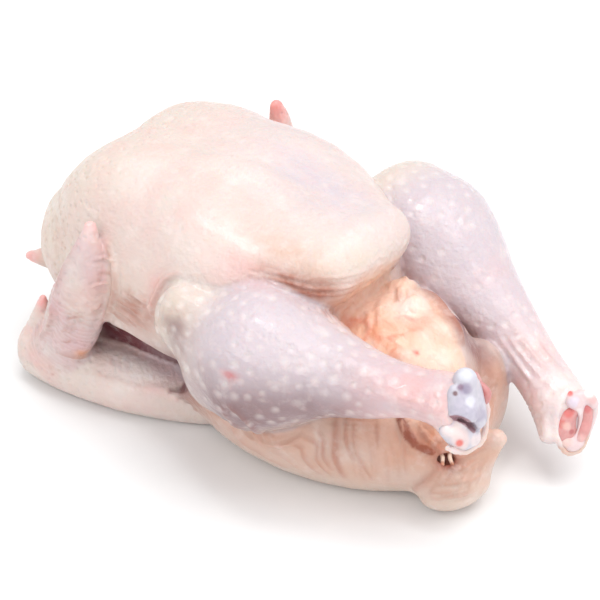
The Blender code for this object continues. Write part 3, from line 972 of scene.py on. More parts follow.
# Patches of colour on the skin: centre and radii in millimetres, tone and strength
PATCHES = (
    # Breast: lilac where the skin is thin over the meat, white over the keel, painted shade under the rim
    ((6, 6, 106), (34, 17, 14), "lilac", 0.75),
    ((-28, 30, 106), (34, 18, 20), "lilac", 0.35),
    ((-21, -18, 112), (2.2, 2.2, 3), "pale", 0.8),
    ((36, -14, 100), (20, 26, 10), "pale", 0.35),
    ((8, -45, 95), (13, 6, 6), "pink", 0.6),
    ((26, -32, 102), (24, 9, 7), "peach", 0.75),
    ((27, -40, 94), (16, 5, 5), "crease", 1.0),
    ((38, -34, 93), (9, 7, 6), "crease", 1.0),
    ((42, -24, 84), (6, 13, 5), "crease", 0.6),
    ((41, -18, 99), (12, 16, 5), "beige", 0.7),
    ((4, 12, 108), (34, 7, 6), "lilac", 0.5),
    # Pinched skin beside the knee: rose, with painted shade in the pinch and a painted shadow along the
    # flank's lower edge; mauve on the knee, deepened as painted shade
    ((-24, -64, 79), (4, 6, 9), "rose", 0.5),
    ((-34, -67, 67), (16, 6, 9), "crease", 0.5),
    ((-18, -63, 48), (12, 7, 7), "dark", 0.8),
    ((-3, -76, 72), (8, 8, 20), "mauve", 0.6),
    # Scratch on the drumstick, blush near both hocks
    ((30, -79, 73), (3.4, 3, 1.6), "red", 0.7),
    ((96, -46, 78), (16, 12, 8), "pink", 0.45),
    ((108, -44, 72), (8, 8, 12), "pink", 0.25),
    ((8, -78, 58), (8, 8, 12), "mauve", 0.35),
    ((72, -54, 77), (13, 7, 8), "mauve", 0.22),
    ((100, 36, 50), (16, 14, 10), "pale", 0.3),
    ((116, 30, 44), (9, 12, 8), "pale", 0.6),
    ((60, 52, 66), (10, 9, 5), "pink", 0.4),
    # Wing tips, thumbs, the flat and its joint
    ((-60, -64, 98), (5, 6, 4), "rose", 0.5),
    ((-56, -62, 93), (3, 5, 9), "rose", 0.4),
    ((-59, -65, 92), (3, 4, 7), "pale", 0.5),
    ((-65, 60, 96), (8, 8, 11), "rose", 1.0),
    ((-66, 60, 97), (3, 4, 7), "red", 0.4),
    ((-93, -66, 43), (4, 6, 5), "rose", 0.9),
    ((-93, 66, 43), (4, 6, 5), "rose", 0.9),
    ((-88, -72, 36), (5, 6, 8), "pink", 0.5),
    ((-63, -72, 31), (3.4, 4, 3), "orange", 0.9),
    ((-31, -62, 21), (9, 6, 4), "pink", 0.5),
    # The flat's upper edge: its whitish skin, painted lighter against the shade of the hollow above
    ((-46, -67, 19), (16, 6, 6), "pale", 0.4),
    # Neck
    ((-124, -44, 40), (7, 8, 8), "rose", 1.0),
    ((-114, -41, 62), (1.6, 1.8, 1.8), "rose", 0.8),
    # Fat: it reaches up to the rim, with a blush at its left, cream at its right and a painted highlight
    # near its top
    ((46, -8, 80), (13, 20, 9), "fat", 1.4),
    ((50, -20, 76), (12, 11, 8), "orange", 0.35),
    ((46, -10, 80), (9, 16, 7), "orange", 0.3),
    ((41, -6, 76), (6, 18, 6), "pale", 0.35),
    ((60, -22, 71), (9, 7, 6), "orange", 0.4),
    ((73, -14, 67), (1.2, 1.2, 1.2), "red", 0.7),
    ((60, -2, 78), (12, 10, 5), "pale", 0.6),
    # Thigh of the far leg behind the fat, and the fat's shaded edge
    ((80, 22, 46), (16, 14, 18), "mauve", 0.35),
    ((61, 16, 76), (8, 8, 7), "dark", 0.9),
    ((70, 15, 73), (8, 8, 7), "dark", 1.0),
    ((78, 15, 67), (8, 8, 8), "dark", 1.0),
    ((85, 15, 59), (8, 8, 9), "dark", 0.8),
    ((92, 12, 47), (9, 8, 14), "crease", 0.5),
    ((70, 6, 76), (8, 4, 5), "orange", 0.5),
    # Blood round the vent
    ((90, -25, 36), (9, 5, 7), "orange", 0.9),
    ((93, -24, 33), (6, 4, 5), "crease", 0.5),
    ((97, -22, 28), (7, 5, 4), "crease", 0.7),
    ((106, -26, 18), (10, 10, 9), "beige", 0.5),
)


def painted(bird, points, hollow, groove, look):
    """The skin's colour at each point, and how far it is leg, fat or wet."""
    x, y, z = points.T
    colours = np.tile(np.array(look.cream[:]), (len(points), 1))

    def lay(tone, amount):
        nonlocal colours
        amount = np.clip(amount, 0, 1)[:, None]
        colours = colours * (1 - amount) + np.array(getattr(look, tone)[:]) * amount

    broad, fine, tiny = noise(points, 24, 4.4), noise(points, 9, 1.9), noise(points, 4, 7.3)
    patchy = 0.5 + 0.35 * broad + 0.3 * fine
    drum, wing, hand = (np.zeros(len(points)) for _ in range(3))
    for end in ("near", "far"):
        drum = np.maximum(drum, near_surface(bird, "drum_" + end, points, 3.5))
        for part in ("flat_", "hand_", "thumb_"):
            wing = np.maximum(wing, near_surface(bird, part + end, points, 3))
        hand = np.maximum(hand, near_surface(bird, "hand_" + end, points, 3))
    wing = wing * (1 - drum)
    under = np.zeros(len(points))
    for name in ("thigh_near", "thigh_far", "tail", "tail_point"):
        under = np.maximum(under, near_surface(bird, name, points, 5))
    under = np.maximum(under, ramp(62 - z, 0, 20) * ramp(x, 20, 50)) * (1 - drum) * (1 - wing)
    fat = fat_region(bird, points) * (1 - drum)

    # Breast and flanks
    lay("beige", ramp(-x, 40, 105) * (0.7 + 0.3 * patchy))
    lay("beige", 0.6 * ramp(96 - z, 0, 26) * ramp(-x, -20, 30))
    lay("pink", 0.10 + 0.16 * fine)
    lay("pale", 0.25 * ramp(broad, 0, 0.8) * ramp(z, 90, 108))
    # Wings: cream ruffles, lilac where the skin is thin, pink over the hand
    lay("cream", wing * 0.8)
    lay("lilac", hand * (0.55 + 0.5 * fine) * ramp(broad + 0.4, 0, 0.6))
    lay("pink", hand * (0.25 + 0.35 * fine))
    for end in ("near", "far"):
        _, _, turn = bird.limbs["flat_" + end].coords(points)
        flat = near_surface(bird, "flat_" + end, points, 3) * (1 - hand) * (1 - drum)
        lay("lilac", flat * ramp(np.sin(turn), 0.72, 0.95) * ramp(x, -60, -40) * 0.9)
        lay("pink", flat * np.clip(0.1 + 0.25 * fine, 0, 1))
    # Thighs, underside and tail
    lay("peach", under * (0.9 + 0.2 * fine))
    lay("orange", under * np.clip(0.15 + 0.3 * fine, 0, 1) * ramp(z, 8, 40))
    lay("beige", under * ramp(20 - z, 0, 14) * 0.5)
    # Fat under thin skin
    lay("fat", fat)
    lay("pale", fat * np.clip(0.1 + 0.3 * fine, 0, 1))
    # Fine vessels branch through its left part, where a noise passes through nought
    red = fat * ramp(74 - x, 0, 14) * ramp(-y, -6, 10)
    lay("orange", red * np.clip(0.35 + 0.6 * (tiny + fine), 0, 0.9))
    for grain, shift in ((10, 9.1), (5.5, 3.7)):
        lay("vein", red * (1 - ramp(np.abs(noise(points, grain, shift)), 0.02, 0.2)) * 0.75)
    # Drumsticks: lilac-grey, mauve low down on their outer sides, where the dark meat shows and is deepened
    # as painted shade, cream at the knee, pink near the cut
    lay("lilac", drum)
    for end in ("near", "far"):
        t, _, turn = bird.limbs["drum_" + end].coords(points)
        on = near_surface(bird, "drum_" + end, points, 3.5)
        outer = np.cos(turn) * (1 if end == "near" else -1)
        low = ramp(-np.sin(turn), -0.7, 0.25) * (1 - ramp(t, 0.45, 0.8)) * ramp(outer, -0.5, 0.3)
        lay("mauve", on * low * (0.98 + 0.25 * fine) * ramp(t, -0.1, 0.12))
        lay("beige", on * ramp(-t, -0.1, 0.12) * (0.85 + 0.3 * fine))
        lay("mauve", on * ramp(-t, -0.16, 0.1) * ramp(-np.sin(turn), -0.6, 0.3) * 0.32)
        lay("cream", on * ramp(-np.sin(turn), 0.5, 1.0) * (1 - ramp(t, 0.3, 0.6)) * 0.7)
        lay("pink", on * ramp(t, 0.42, 0.85) * np.clip(0.4 + 0.35 * fine, 0, 1))
        lay("pale", on * ramp(t, 0.84, 0.97) * np.clip(0.5 + 0.4 * fine, 0, 1))
    for place, radii, tone, strength in PATCHES:
        ragged = np.clip(1 + 0.5 * tiny, 0, 2)
        if tone in ("crease", "dark"):
            ragged = ragged * (1 - (0.8 if tone == "crease" else 0.4) * drum)
        lay(tone, strength * spot(points, place, radii) * ragged)
    # Fold valleys and hollows are darkened with the crease tone as painted shade, the gash beside the vent
    # shows raw flesh, and stretched edges are paler
    high_drum = drum * ramp(z, 76, 86)
    hollow_shade = 0.75 * (1 - 0.5 * wing) * (1 - 0.75 * high_drum) * (1 - 0.6 * fat)
    lay("crease", ramp(hollow, 0.8, 4.0) * hollow_shade)
    lay("crease", groove * 0.75)
    lay("gash", 0.75 * ramp(groove, 0.7, 1.0) * ramp(x, 70, 76) * (1 - drum))
    lay("pale", ramp(-hollow, 1.8, 4.5) * 0.35 * (1 - hand))
    # Painted shade under the breast's overhanging rim: brown over skin, orange over fat
    rim_shade = ramp(hollow, 1.5, 5.0) * ramp(z, 60, 75) * ramp(x, 0, 30)
    lay("crease", 0.5 * rim_shade * (1 - fat))
    lay("orange", 0.4 * rim_shade * fat)
    # Painted shade in the hollow under each wing, dark and tinted mauve towards the tail end
    underwing_shade = np.zeros(len(points))
    for side in (-1, 1):
        underwing_shade += 0.8 * spot(points, (-34, side * 52, 38), (44, 16, 17)) * (1 - wing)
        underwing_shade += 1.6 * spot(points, (-38, side * 49, 33), (34, 8, 14)) * (1 - 0.9 * wing)
        # Along the top of each wing's flat, its whitish skin is painted lighter against the shade of the
        # hollow
        lay("pale", 0.9 * spot(points, (-46, side * 59, 26), (26, 6, 6)) * wing)
    lay("dark", underwing_shade)
    lay("mauve", underwing_shade * 0.5 * ramp(x, -55, -25))
    # The vent's hole: brown-red, with painted shade darkest at its middle
    hole = spot(points, VENT, (4.6, 3.6, 3.0))
    lay("crease", hole * 1.6)
    lay("dark", hole * 0.5)
    bumps = drum * ramp(patchy, 0.05, 0.5)
    others = (1 - drum) * (1 - fat) * (1 - np.clip(underwing_shade + hole, 0, 1))
    others *= np.clip(0.1 + 0.9 * ramp(-x, 35, 85) + 0.2 * wing + 0.1 * under, 0, 1)
    return colours, {"leg": bumps, "fat": fat, "body": others, "drum": drum, "wing": wing}


# ---------------------------------------------------------------- meshes


def new_mesh(name, points, faces):
    """A mesh object from points in millimetres."""
    mesh = bpy.data.meshes.new(name)
    mesh.from_pydata((points * MM).tolist(), [], faces.tolist())
    mesh.update()
    piece = bpy.data.objects.new(name, mesh)
    bpy.context.scene.collection.objects.link(piece)
    return piece


def read_points(mesh):
    """The vertex positions of a mesh, in millimetres."""
    values = np.empty(len(mesh.vertices) * 3, np.float32)
    mesh.vertices.foreach_get("co", values)
    return values.reshape(-1, 3).astype(float) / MM


def write_points(mesh, points):
    mesh.vertices.foreach_set("co", (points * MM).astype(np.float32).ravel())
    mesh.update()


def read_normals(mesh):
    values = np.empty(len(mesh.vertices) * 3, np.float32)
    mesh.vertices.foreach_get("normal", values)
    return values.reshape(-1, 3).astype(float)


def store(mesh, name, red, green, blue):
    """Keep three values for each vertex as one colour attribute."""
    old = mesh.attributes.get(name)
    if old:
        mesh.attributes.remove(old)
    layer = mesh.attributes.new(name, "FLOAT_COLOR", "POINT")
    values = np.stack((red, green, blue, np.ones(len(red))), 1)
    layer.data.foreach_set("color", np.clip(values, 0, 1).astype(np.float32).ravel())


def store_value(mesh, name, values):
    old = mesh.attributes.get(name)
    if old:
        mesh.attributes.remove(old)
    layer = mesh.attributes.new(name, "FLOAT", "POINT")
    layer.data.foreach_set("value", np.asarray(values, np.float32))


def baked(piece):
    """Replace a piece's mesh by what its modifiers make of it, and remove them."""
    graph = bpy.context.evaluated_depsgraph_get()
    mesh = bpy.data.meshes.new_from_object(
        piece.evaluated_get(graph), preserve_all_data_layers=True, depsgraph=graph
    )
    piece.modifiers.clear()
    old = piece.data
    piece.data = mesh
    bpy.data.meshes.remove(old)
    piece.data.name = piece.name
    return piece


def subdivided(piece, levels=1):
    modifier = piece.modifiers.new("finer", "SUBSURF")
    modifier.levels = modifier.render_levels = levels
    return baked(piece)


def thinned(piece, most):
    """Collapse edges where the surface is flat until few enough triangles are left."""
    piece.data.calc_loop_triangles()
    count = len(piece.data.loop_triangles)
    if count > most:
        modifier = piece.modifiers.new("thinner", "DECIMATE")
        modifier.ratio = most / count
        baked(piece)
    return piece


def finish(piece, material):
    """Shade a piece smooth and let it ride on the bird's body."""
    piece.data.materials.clear()
    piece.data.materials.append(material)
    piece.data.shade_smooth()
    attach(piece, BODY)
    return piece


# ---------------------------------------------------------------- geometry nodes


def add_node(tree, kind, settings=None, links=None, **inputs):
    """Add a node, set its own settings and input values, and link its inputs."""
    node = tree.nodes.new(kind)
    for key, value in (settings or {}).items():
        setattr(node, key, value)
    for key, value in inputs.items():
        node.inputs[key.replace("_", " ")].default_value = value
    for key, source in (links or {}).items():
        tree.links.new(source, node.inputs[key])
    return node


def follicle_tree():
    """A tree that raises low domes, evenly strewn by a mask, and keeps their weight."""
    tree = bpy.data.node_groups.new("follicles", "GeometryNodeTree")
    face = tree.interface
    face.new_socket("Geometry", in_out="INPUT", socket_type="NodeSocketGeometry")
    for name in ("Spacing", "Radius", "Height"):
        face.new_socket(name, in_out="INPUT", socket_type="NodeSocketFloat")
    face.new_socket("Seed", in_out="INPUT", socket_type="NodeSocketInt")
    face.new_socket("Mask", in_out="INPUT", socket_type="NodeSocketString")
    face.new_socket("Material", in_out="INPUT", socket_type="NodeSocketMaterial")
    face.new_socket("Geometry", in_out="OUTPUT", socket_type="NodeSocketGeometry")
    given = tree.nodes.new("NodeGroupInput").outputs

    mask = add_node(tree, "GeometryNodeInputNamedAttribute", links={0: given["Mask"]})
    strewn = add_node(
        tree, "GeometryNodeDistributePointsOnFaces", {"distribute_method": "POISSON"},
        {
            "Mesh": given["Geometry"],
            "Distance Min": given["Spacing"],
            "Density Factor": mask.outputs[0],
            "Seed": given["Seed"],
        },
        Density_Max=90000.0,
    )
    here = add_node(tree, "GeometryNodeInputPosition")
    nearest = add_node(
        tree, "GeometryNodeProximity", {"target_element": "POINTS"},
        {0: strewn.outputs["Points"], "Sample Position": here.outputs[0]},
    )
    which = add_node(
        tree, "GeometryNodeSampleNearest", {"domain": "POINT"},
        {0: strewn.outputs["Points"], 1: here.outputs[0]},
    )
    uneven = add_node(tree, "FunctionNodeRandomValue", {"data_type": "FLOAT"})
    uneven.inputs[2].default_value, uneven.inputs[3].default_value = 0.7, 1.15
    size = add_node(
        tree, "GeometryNodeSampleIndex", {"data_type": "FLOAT", "domain": "POINT"},
        {
            "Geometry": strewn.outputs["Points"],
            "Value": uneven.outputs[1],
            "Index": which.outputs[0],
        },
    )
    reach = add_node(
        tree, "ShaderNodeMath", {"operation": "MULTIPLY"}, {0: given["Radius"], 1: size.outputs[0]}
    )
    dome = add_node(
        tree, "ShaderNodeMapRange", {"interpolation_type": "SMOOTHSTEP"},
        {"Value": nearest.outputs["Distance"], "From Max": reach.outputs[0]},
        To_Min=1.0, To_Max=0.0,
    )
    weight = add_node(
        tree, "ShaderNodeMath", {"operation": "MULTIPLY"}, {0: dome.outputs[0], 1: mask.outputs[0]}
    )
    lift = add_node(
        tree, "ShaderNodeMath", {"operation": "MULTIPLY"},
        {0: weight.outputs[0], 1: given["Height"]},
    )
    normal = add_node(tree, "GeometryNodeInputNormal")
    offset = add_node(
        tree, "ShaderNodeVectorMath", {"operation": "SCALE"},
        {0: normal.outputs[0], "Scale": lift.outputs[0]},
    )
    moved = add_node(
        tree, "GeometryNodeSetPosition", None,
        {"Geometry": given["Geometry"], "Offset": offset.outputs[0]},
    )
    before = add_node(tree, "GeometryNodeInputNamedAttribute")
    before.inputs["Name"].default_value = "follicle"
    both = add_node(
        tree, "ShaderNodeMath", {"operation": "MAXIMUM"}, {0: before.outputs[0], 1: weight.outputs[0]}
    )
    kept = add_node(
        tree, "GeometryNodeStoreNamedAttribute", {"data_type": "FLOAT", "domain": "POINT"},
        {"Geometry": moved.outputs[0], "Value": both.outputs[0]},
        Name="follicle",
    )
    real = add_node(tree, "GeometryNodeRealizeInstances", None, {0: kept.outputs[0]})
    dressed = add_node(
        tree, "GeometryNodeSetMaterial", None,
        {"Geometry": real.outputs[0], "Material": given["Material"]},
    )
    add_node(tree, "NodeGroupOutput", None, {0: dressed.outputs[0]})
    return tree


def with_nodes(piece, tree, **values):
    """Add a Geometry Nodes modifier with its inputs set, each by its socket's identifier."""
    modifier = piece.modifiers.new(tree.name, "NODES")
    modifier.node_group = tree
    for item in tree.interface.items_tree:
        if item.in_out == "INPUT" and item.name in values:
            modifier[item.identifier] = values[item.name]
    return modifier


# ---------------------------------------------------------------- materials


def new_material(name):
    material = bpy.data.materials.new(name)
    material.use_nodes = True
    return material, material.node_tree, material.node_tree.nodes["Principled BSDF"]


def mixed(tree, amount, first, second, blend="MIX"):
    """Mix two colours, each a socket or a fixed colour."""
    node = tree.nodes.new("ShaderNodeMix")
    node.data_type, node.blend_type = "RGBA", blend
    for socket, value in ((node.inputs[0], amount), (node.inputs[6], first), (node.inputs[7], second)):
        if isinstance(value, bpy.types.NodeSocket):
            tree.links.new(value, socket)
        elif socket.type == "RGBA":
            socket.default_value = (*value, 1)
        else:
            socket.default_value = value
    return node.outputs[2]


def skin_material(look):
    """Raw chicken skin, scalded and plucked: translucent, moist and uneven in colour."""
    material, tree, shader = new_material("raw_chicken_skin")
    place = add_node(tree, "ShaderNodeTexCoord").outputs["Object"]

    def texture(grain_mm, detail=3.0, roughness=0.55):
        node = add_node(
            tree, "ShaderNodeTexNoise", None, {"Vector": place},
            Scale=1 / (grain_mm * MM), Detail=detail, Roughness=roughness,
        )
        return node.outputs["Fac"]

    def between(value, low, high, first=0.0, last=1.0):
        node = add_node(
            tree, "ShaderNodeMapRange", {"interpolation_type": "SMOOTHSTEP"}, {"Value": value},
            From_Min=low, From_Max=high, To_Min=first, To_Max=last,
        )
        return node.outputs[0]

    def times(a, b):
        node = add_node(tree, "ShaderNodeMath", {"operation": "MULTIPLY"})
        for socket, value in zip(node.inputs, (a, b)):
            if isinstance(value, bpy.types.NodeSocket):
                tree.links.new(value, socket)
            else:
                socket.default_value = value
        return node.outputs[0]

    tone = add_node(tree, "ShaderNodeAttribute", {"attribute_name": "tone"}).outputs["Color"]
    kinds = add_node(tree, "ShaderNodeAttribute", {"attribute_name": "kinds"}).outputs["Color"]
    kinds = add_node(tree, "ShaderNodeSeparateColor", None, {0: kinds}).outputs
    leg, fat = kinds[0], kinds[1]
    follicle = add_node(tree, "ShaderNodeAttribute", {"attribute_name": "follicle"}).outputs["Fac"]

    # Mottling a few millimetres across: pale flecks of fat and a pink blush under the skin
    base = mixed(tree, times(between(texture(7, 4), 0.5, 0.72), 0.22), tone, look.pale)
    base = mixed(tree, times(between(texture(4.5, 5, 0.65), 0.52, 0.74), 0.16), base, look.pink)
    # Whitish domes where the feathers grew
    base = mixed(tree, times(follicle, between(leg, 0.0, 1.0, 0.22, 0.45)), base, look.pale)

    tree.links.new(base, shader.inputs["Base Color"])

    # Moist: a broken wet film, clearest on the tight skin of the legs
    wet = between(texture(5, 4), 0.35, 0.65, 0.30, 0.48)
    tree.links.new(wet, shader.inputs["Roughness"])
    shader.inputs["IOR"].default_value = 1.42
    shader.inputs["Subsurface Weight"].default_value = 0.35
    shader.inputs["Subsurface Radius"].default_value = (1.0, 0.5, 0.35)
    shader.inputs["Subsurface Scale"].default_value = 1.6 * MM
    film = times(between(texture(9, 3), 0.40, 0.62, 0.3, 1.0), between(leg, 0.0, 1.0, 0.3, 0.7))
    tree.links.new(film, shader.inputs["Coat Weight"])
    shader.inputs["Coat Roughness"].default_value = 0.13

    # Grain of the skin: pores and cross-hatched lines a millimetre or two apart
    pores = add_node(
        tree, "ShaderNodeTexVoronoi", {"feature": "SMOOTH_F1"}, {"Vector": place},
        Scale=1 / (2.2 * MM), Smoothness=0.6,
    )
    fine = add_node(
        tree, "ShaderNodeBump", None, {"Height": texture(1.5, 4, 0.6)}, Strength=0.6,
        Distance=0.4 * MM,
    )
    pitted = add_node(
        tree, "ShaderNodeBump", {"invert": True},
        {"Height": pores.outputs["Distance"], "Normal": fine.outputs[0]},
        Strength=0.4, Distance=0.5 * MM,
    )
    coarse = add_node(
        tree, "ShaderNodeBump", None, {"Height": texture(4.5, 3), "Normal": pitted.outputs[0]},
        Strength=0.6, Distance=0.9 * MM,
    )
    tree.links.new(coarse.outputs[0], shader.inputs["Normal"])
    return material


# ---------------------------------------------------------------- operators


def fit_to_frame(points):
    """Scale and offset, in millimetres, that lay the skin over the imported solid."""
    low, high = (np.array(corner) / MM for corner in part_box(NODE))
    mine_low, mine_high = points.min(0), points.max(0)
    scale = np.clip((high - low) / (mine_high - mine_low), 0.995, 1.0)
    return scale, low - mine_low * scale


class CHICKEN_OT_skin(bpy.types.Operator):
    """Fuse the forms into one skin with folds, follicles and regions of colour"""

    bl_idname = "chicken.skin"
    bl_label = "Skin"

    def execute(self, context):
        size, look = context.scene.bird_sizes, context.scene.skin_look
        strewn = context.scene.follicle_sizes
        bird = Bird(size)
        points, quads = bird.field.surface(bird.skin)
        piece = new_mesh("skin", points, quads[:, ::-1])
        subdivided(piece)
        mesh = piece.data
        points, normals = read_points(mesh), read_normals(mesh)
        height, groove = relief(bird, points)
        write_points(mesh, points + normals * height[:, None])
        _, kinds = painted(bird, points, bird.valley(points), groove, look)
        store_value(mesh, "leg_mask", kinds["leg"])
        store_value(mesh, "body_mask", kinds["body"])
        material = skin_material(look)
        tree = follicle_tree()
        for part, seed in (("leg", 3), ("body", 11)):
            values = {
                name.capitalize(): getattr(strewn, part + "_" + name) * MM
                for name in ("spacing", "radius", "height")
            }
            with_nodes(piece, tree, Seed=seed, Mask=part + "_mask", Material=material, **values)
        baked(piece)
        thinned(piece, size.triangles)

        mesh = piece.data
        points = read_points(mesh)
        points[:, 2] = np.maximum(points[:, 2], 0)
        _, groove = relief(bird, points)
        tone, kinds = painted(bird, points, bird.valley(points), groove, look)
        store(mesh, "tone", *tone.T)
        store(mesh, "kinds", kinds["drum"], kinds["fat"], groove)
        for name in ("leg_mask", "body_mask"):
            mesh.attributes.remove(mesh.attributes[name])
        scale, offset = fit_to_frame(points)
        write_points(mesh, points * scale + offset)
        finish(piece, material)
        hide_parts(NODE)
        context.scene["bird_scale"], context.scene["bird_offset"] = list(scale), list(offset)
        return {"FINISHED"}


def wet_material(name, roughness, weight, tint_radius):
    """A bare wet surface coloured by the tone that each piece carries."""
    material, tree, shader = new_material(name)
    place = add_node(tree, "ShaderNodeTexCoord").outputs["Object"]
    tone = add_node(tree, "ShaderNodeAttribute", {"attribute_name": "tone"}).outputs["Color"]
    speckle = add_node(tree, "ShaderNodeTexNoise", None, {"Vector": place}, Scale=1 / (2 * MM), Detail=3)
    tree.links.new(mixed(tree, speckle.outputs["Fac"], tone, colour("#EFE6E6"), "SOFT_LIGHT"),
                   shader.inputs["Base Color"])
    shader.inputs["Roughness"].default_value = roughness
    shader.inputs["Subsurface Weight"].default_value = weight
    shader.inputs["Subsurface Radius"].default_value = tint_radius
    shader.inputs["Subsurface Scale"].default_value = 1.5 * MM
    shader.inputs["Coat Weight"].default_value = 0.25
    shader.inputs["Coat Roughness"].default_value = 0.25
    bump = add_node(
        tree, "ShaderNodeBump", None, {"Height": speckle.outputs["Fac"]}, Strength=0.25,
        Distance=0.4 * MM,
    )
    tree.links.new(bump.outputs[0], shader.inputs["Normal"])
    return material


def cartilage_material():
    """Joint cartilage: bluish white, smooth and shiny, with light going a little way in."""
    return wet_material("joint_cartilage", 0.36, 0.4, (0.8, 0.8, 1.0))


def flesh_material():
    """Freshly cut dark meat: wet and pinkish red, duller than the cartilage beside it."""
    return wet_material("cut_dark_meat", 0.4, 0.3, (1.0, 0.35, 0.25))


class CHICKEN_OT_hocks(bpy.types.Operator):
    """Build the cartilage and the cut meat that both hocks show"""

    bl_idname = "chicken.hocks"
    bl_label = "Cut hocks"

    def execute(self, context):
        materials = {"cartilage": cartilage_material(), "flesh": flesh_material()}
        materials["membrane"] = materials["cartilage"]
        scale, offset = (np.array(context.scene["bird_" + part]) for part in ("scale", "offset"))
        for name, runs in CUT_PARTS.items():
            end, kind = name.split("_")
            middle = np.array(CUTS[end][0], float)
            step, reach = (0.3, 9) if end == "vent" else (0.5, 24)
            field = Field(step, middle - reach, middle + reach)
            block = None
            for run in runs:
                part = chain(field, end, run)
                block = part if block is None else join(block, part, 1.6)
            if name in CUT_SLITS:
                block = cut(block, chain(field, end, CUT_SLITS[name], (1, 1, 3)), 0.8)
            if end != "vent":
                block = blurred(np.clip(block, -5, 5), 1)
            points, quads = field.surface(block)
            piece = new_mesh(name, points, quads[:, ::-1])
            store(piece.data, "tone", *cut_tones(name, end, points).T)
            write_points(piece.data, points * scale + offset)
            finish(piece, materials[kind])
        return {"FINISHED"}


def cut_tones(name, end, points):
    """Colours of a piece on a hock's cut, mottled and with soft-edged spots."""
    ground, spots = CUT_TONES[name]
    seen = (points - np.array(CUTS[end][0])) @ VIEW_AXES.T
    tones = np.tile(np.array(colour(ground)), (len(points), 1))
    ragged = 1 + 0.25 * noise(points, 2.5, 2.1)
    for (across, up), radius, tone, strength in spots:
        gap = np.hypot(seen[:, 0] - across, seen[:, 1] - up) * ragged / radius
        amount = strength * (1 - ramp(gap, 0.45, 1.15))[:, None]
        tones = tones * (1 - amount) + np.array(colour(tone)) * amount
    # Painted shade along each slit
    if name in CUT_SLITS:
        for across, up, _, radius in smooth_line(CUT_SLITS[name], 30):
            gap = np.hypot(seen[:, 0] - across, seen[:, 1] - up) / (radius + 0.35)
            amount = (1 - ramp(gap, 0.75, 1.15))[:, None]
            tones = tones * (1 - amount) + np.array(colour(SLIT_SHADE)) * amount
    return tones


def add_area(name, at, towards, size, power, tone="#FFFFFF"):
    """A soft square light that faces a point, all in metres."""
    data = bpy.data.lights.new(name, "AREA")
    data.size, data.energy, data.color = size, power, colour(tone)
    lamp = bpy.data.objects.new(name, data)
    lamp.location = at
    lamp.rotation_euler = (Vector(towards) - Vector(at)).to_track_quat("-Z", "Y").to_euler()
    bpy.context.scene.collection.objects.link(lamp)


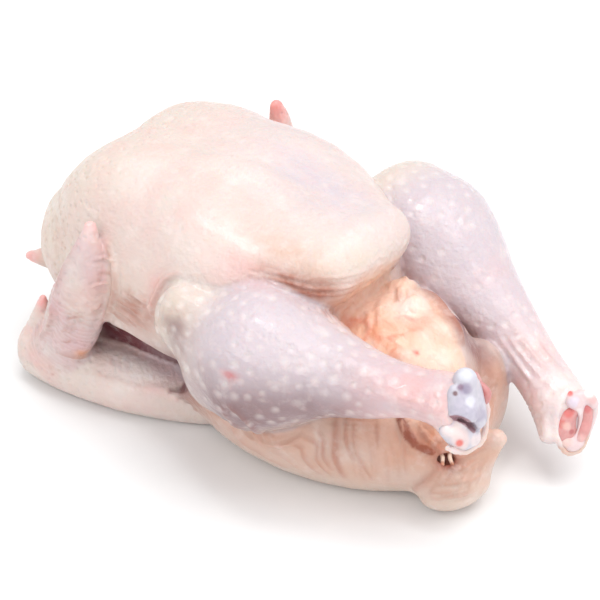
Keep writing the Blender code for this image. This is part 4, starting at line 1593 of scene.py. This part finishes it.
class CHICKEN_OT_stage(bpy.types.Operator):
    """Add the pale floor, the soft lights and the camera"""

    bl_idname = "chicken.stage"
    bl_label = "Stage"

    def execute(self, context):
        scene = context.scene
        mesh = bpy.data.meshes.new("floor")
        bm = bmesh.new()
        bmesh.ops.create_grid(bm, x_segments=1, y_segments=1, size=3.0)
        bm.to_mesh(mesh)
        bm.free()
        floor = bpy.data.objects.new("floor", mesh)
        scene.collection.objects.link(floor)
        material, tree, shader = new_material("matt_white_board")
        place = add_node(tree, "ShaderNodeTexCoord").outputs["Object"]
        grain = add_node(tree, "ShaderNodeTexNoise", None, {"Vector": place}, Scale=60.0, Detail=2.0)
        tree.links.new(mixed(tree, grain.outputs["Fac"], colour("#F1F2F3"), colour("#F5F5F5")),
                       shader.inputs["Base Color"])
        shader.inputs["Roughness"].default_value = 0.9
        shader.inputs["Specular IOR Level"].default_value = 0.1
        mesh.materials.append(material)
        floor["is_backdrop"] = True

        world = bpy.data.worlds.new("studio")
        scene.world = world
        world.use_nodes = True
        world.node_tree.nodes["Background"].inputs["Color"].default_value = (1, 1, 1, 1)
        world.node_tree.nodes["Background"].inputs["Strength"].default_value = 0.78
        add_area("key", (0.55, 0.35, 2.2), (0, 0, 0.05), 1.6, 25.2)
        add_area("glint", (-0.25, -0.1, 1.9), (0, 0, 0.05), 0.35, 4.5)
        add_area("front", (0.2, -1.6, 1.6), (0, 0, 0.05), 1.2, 8)
        add_area("side", (1.3, 0.3, 0.5), (0.1, 0, 0.02), 1.0, 2)

        scene.view_settings.view_transform = "Standard"
        right, up, back = (Vector(axis) for axis in VIEW_AXES)
        scale, offset = scene["bird_scale"], scene["bird_offset"]
        target = Vector([(p * s + o) * MM for p, s, o in zip((0, 0, 55), scale, offset)])
        data = bpy.data.cameras.new("camera")
        data.sensor_width = 36
        data.lens = 36 * 1900 / 600
        data.shift_y = -10 / 600
        camera = bpy.data.objects.new("camera", data)
        camera.matrix_world = Matrix.Translation(target + back * 0.82) @ Matrix(
            (right, up, back)
        ).transposed().to_4x4()
        scene.collection.objects.link(camera)
        scene.camera = camera
        return {"FINISHED"}


class CHICKEN_PT_panel(bpy.types.Panel):
    """Lists the sizes, the colours and the pieces"""

    bl_label = "Raw chicken"
    bl_idname = "CHICKEN_PT_panel"
    bl_space_type = "VIEW_3D"
    bl_region_type = "UI"
    bl_category = "Chicken"

    def draw(self, context):
        layout = self.layout
        for operator in OPERATORS:
            layout.operator(operator.bl_idname)
        for name, group in GROUPS.items():
            for key in group.__annotations__:
                layout.prop(getattr(context.scene, name), key)


GROUPS = {"bird_sizes": BirdSizes, "skin_look": SkinLook, "follicle_sizes": FollicleSizes}
OPERATORS = (CHICKEN_OT_skin, CHICKEN_OT_hocks, CHICKEN_OT_stage)


def register():
    for group in GROUPS.values():
        bpy.utils.register_class(group)
    for name, group in GROUPS.items():
        setattr(bpy.types.Scene, name, PointerProperty(type=group))
    for item in (*OPERATORS, CHICKEN_PT_panel):
        bpy.utils.register_class(item)


def unregister():
    for item in (CHICKEN_PT_panel, *reversed(OPERATORS)):
        bpy.utils.unregister_class(item)
    for name, group in reversed(GROUPS.items()):
        delattr(bpy.types.Scene, name)
        bpy.utils.unregister_class(group)


def main():
    """Build every piece in order."""
    register()
    bpy.ops.chicken.skin()
    bpy.ops.chicken.hocks()
    bpy.ops.chicken.stage()
    boxes = {"cad": CAD_BOX, "visual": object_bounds()}
    boxes = {name: [list(corner) for corner in box] for name, box in boxes.items()}


if __name__ == "__main__":
    main()
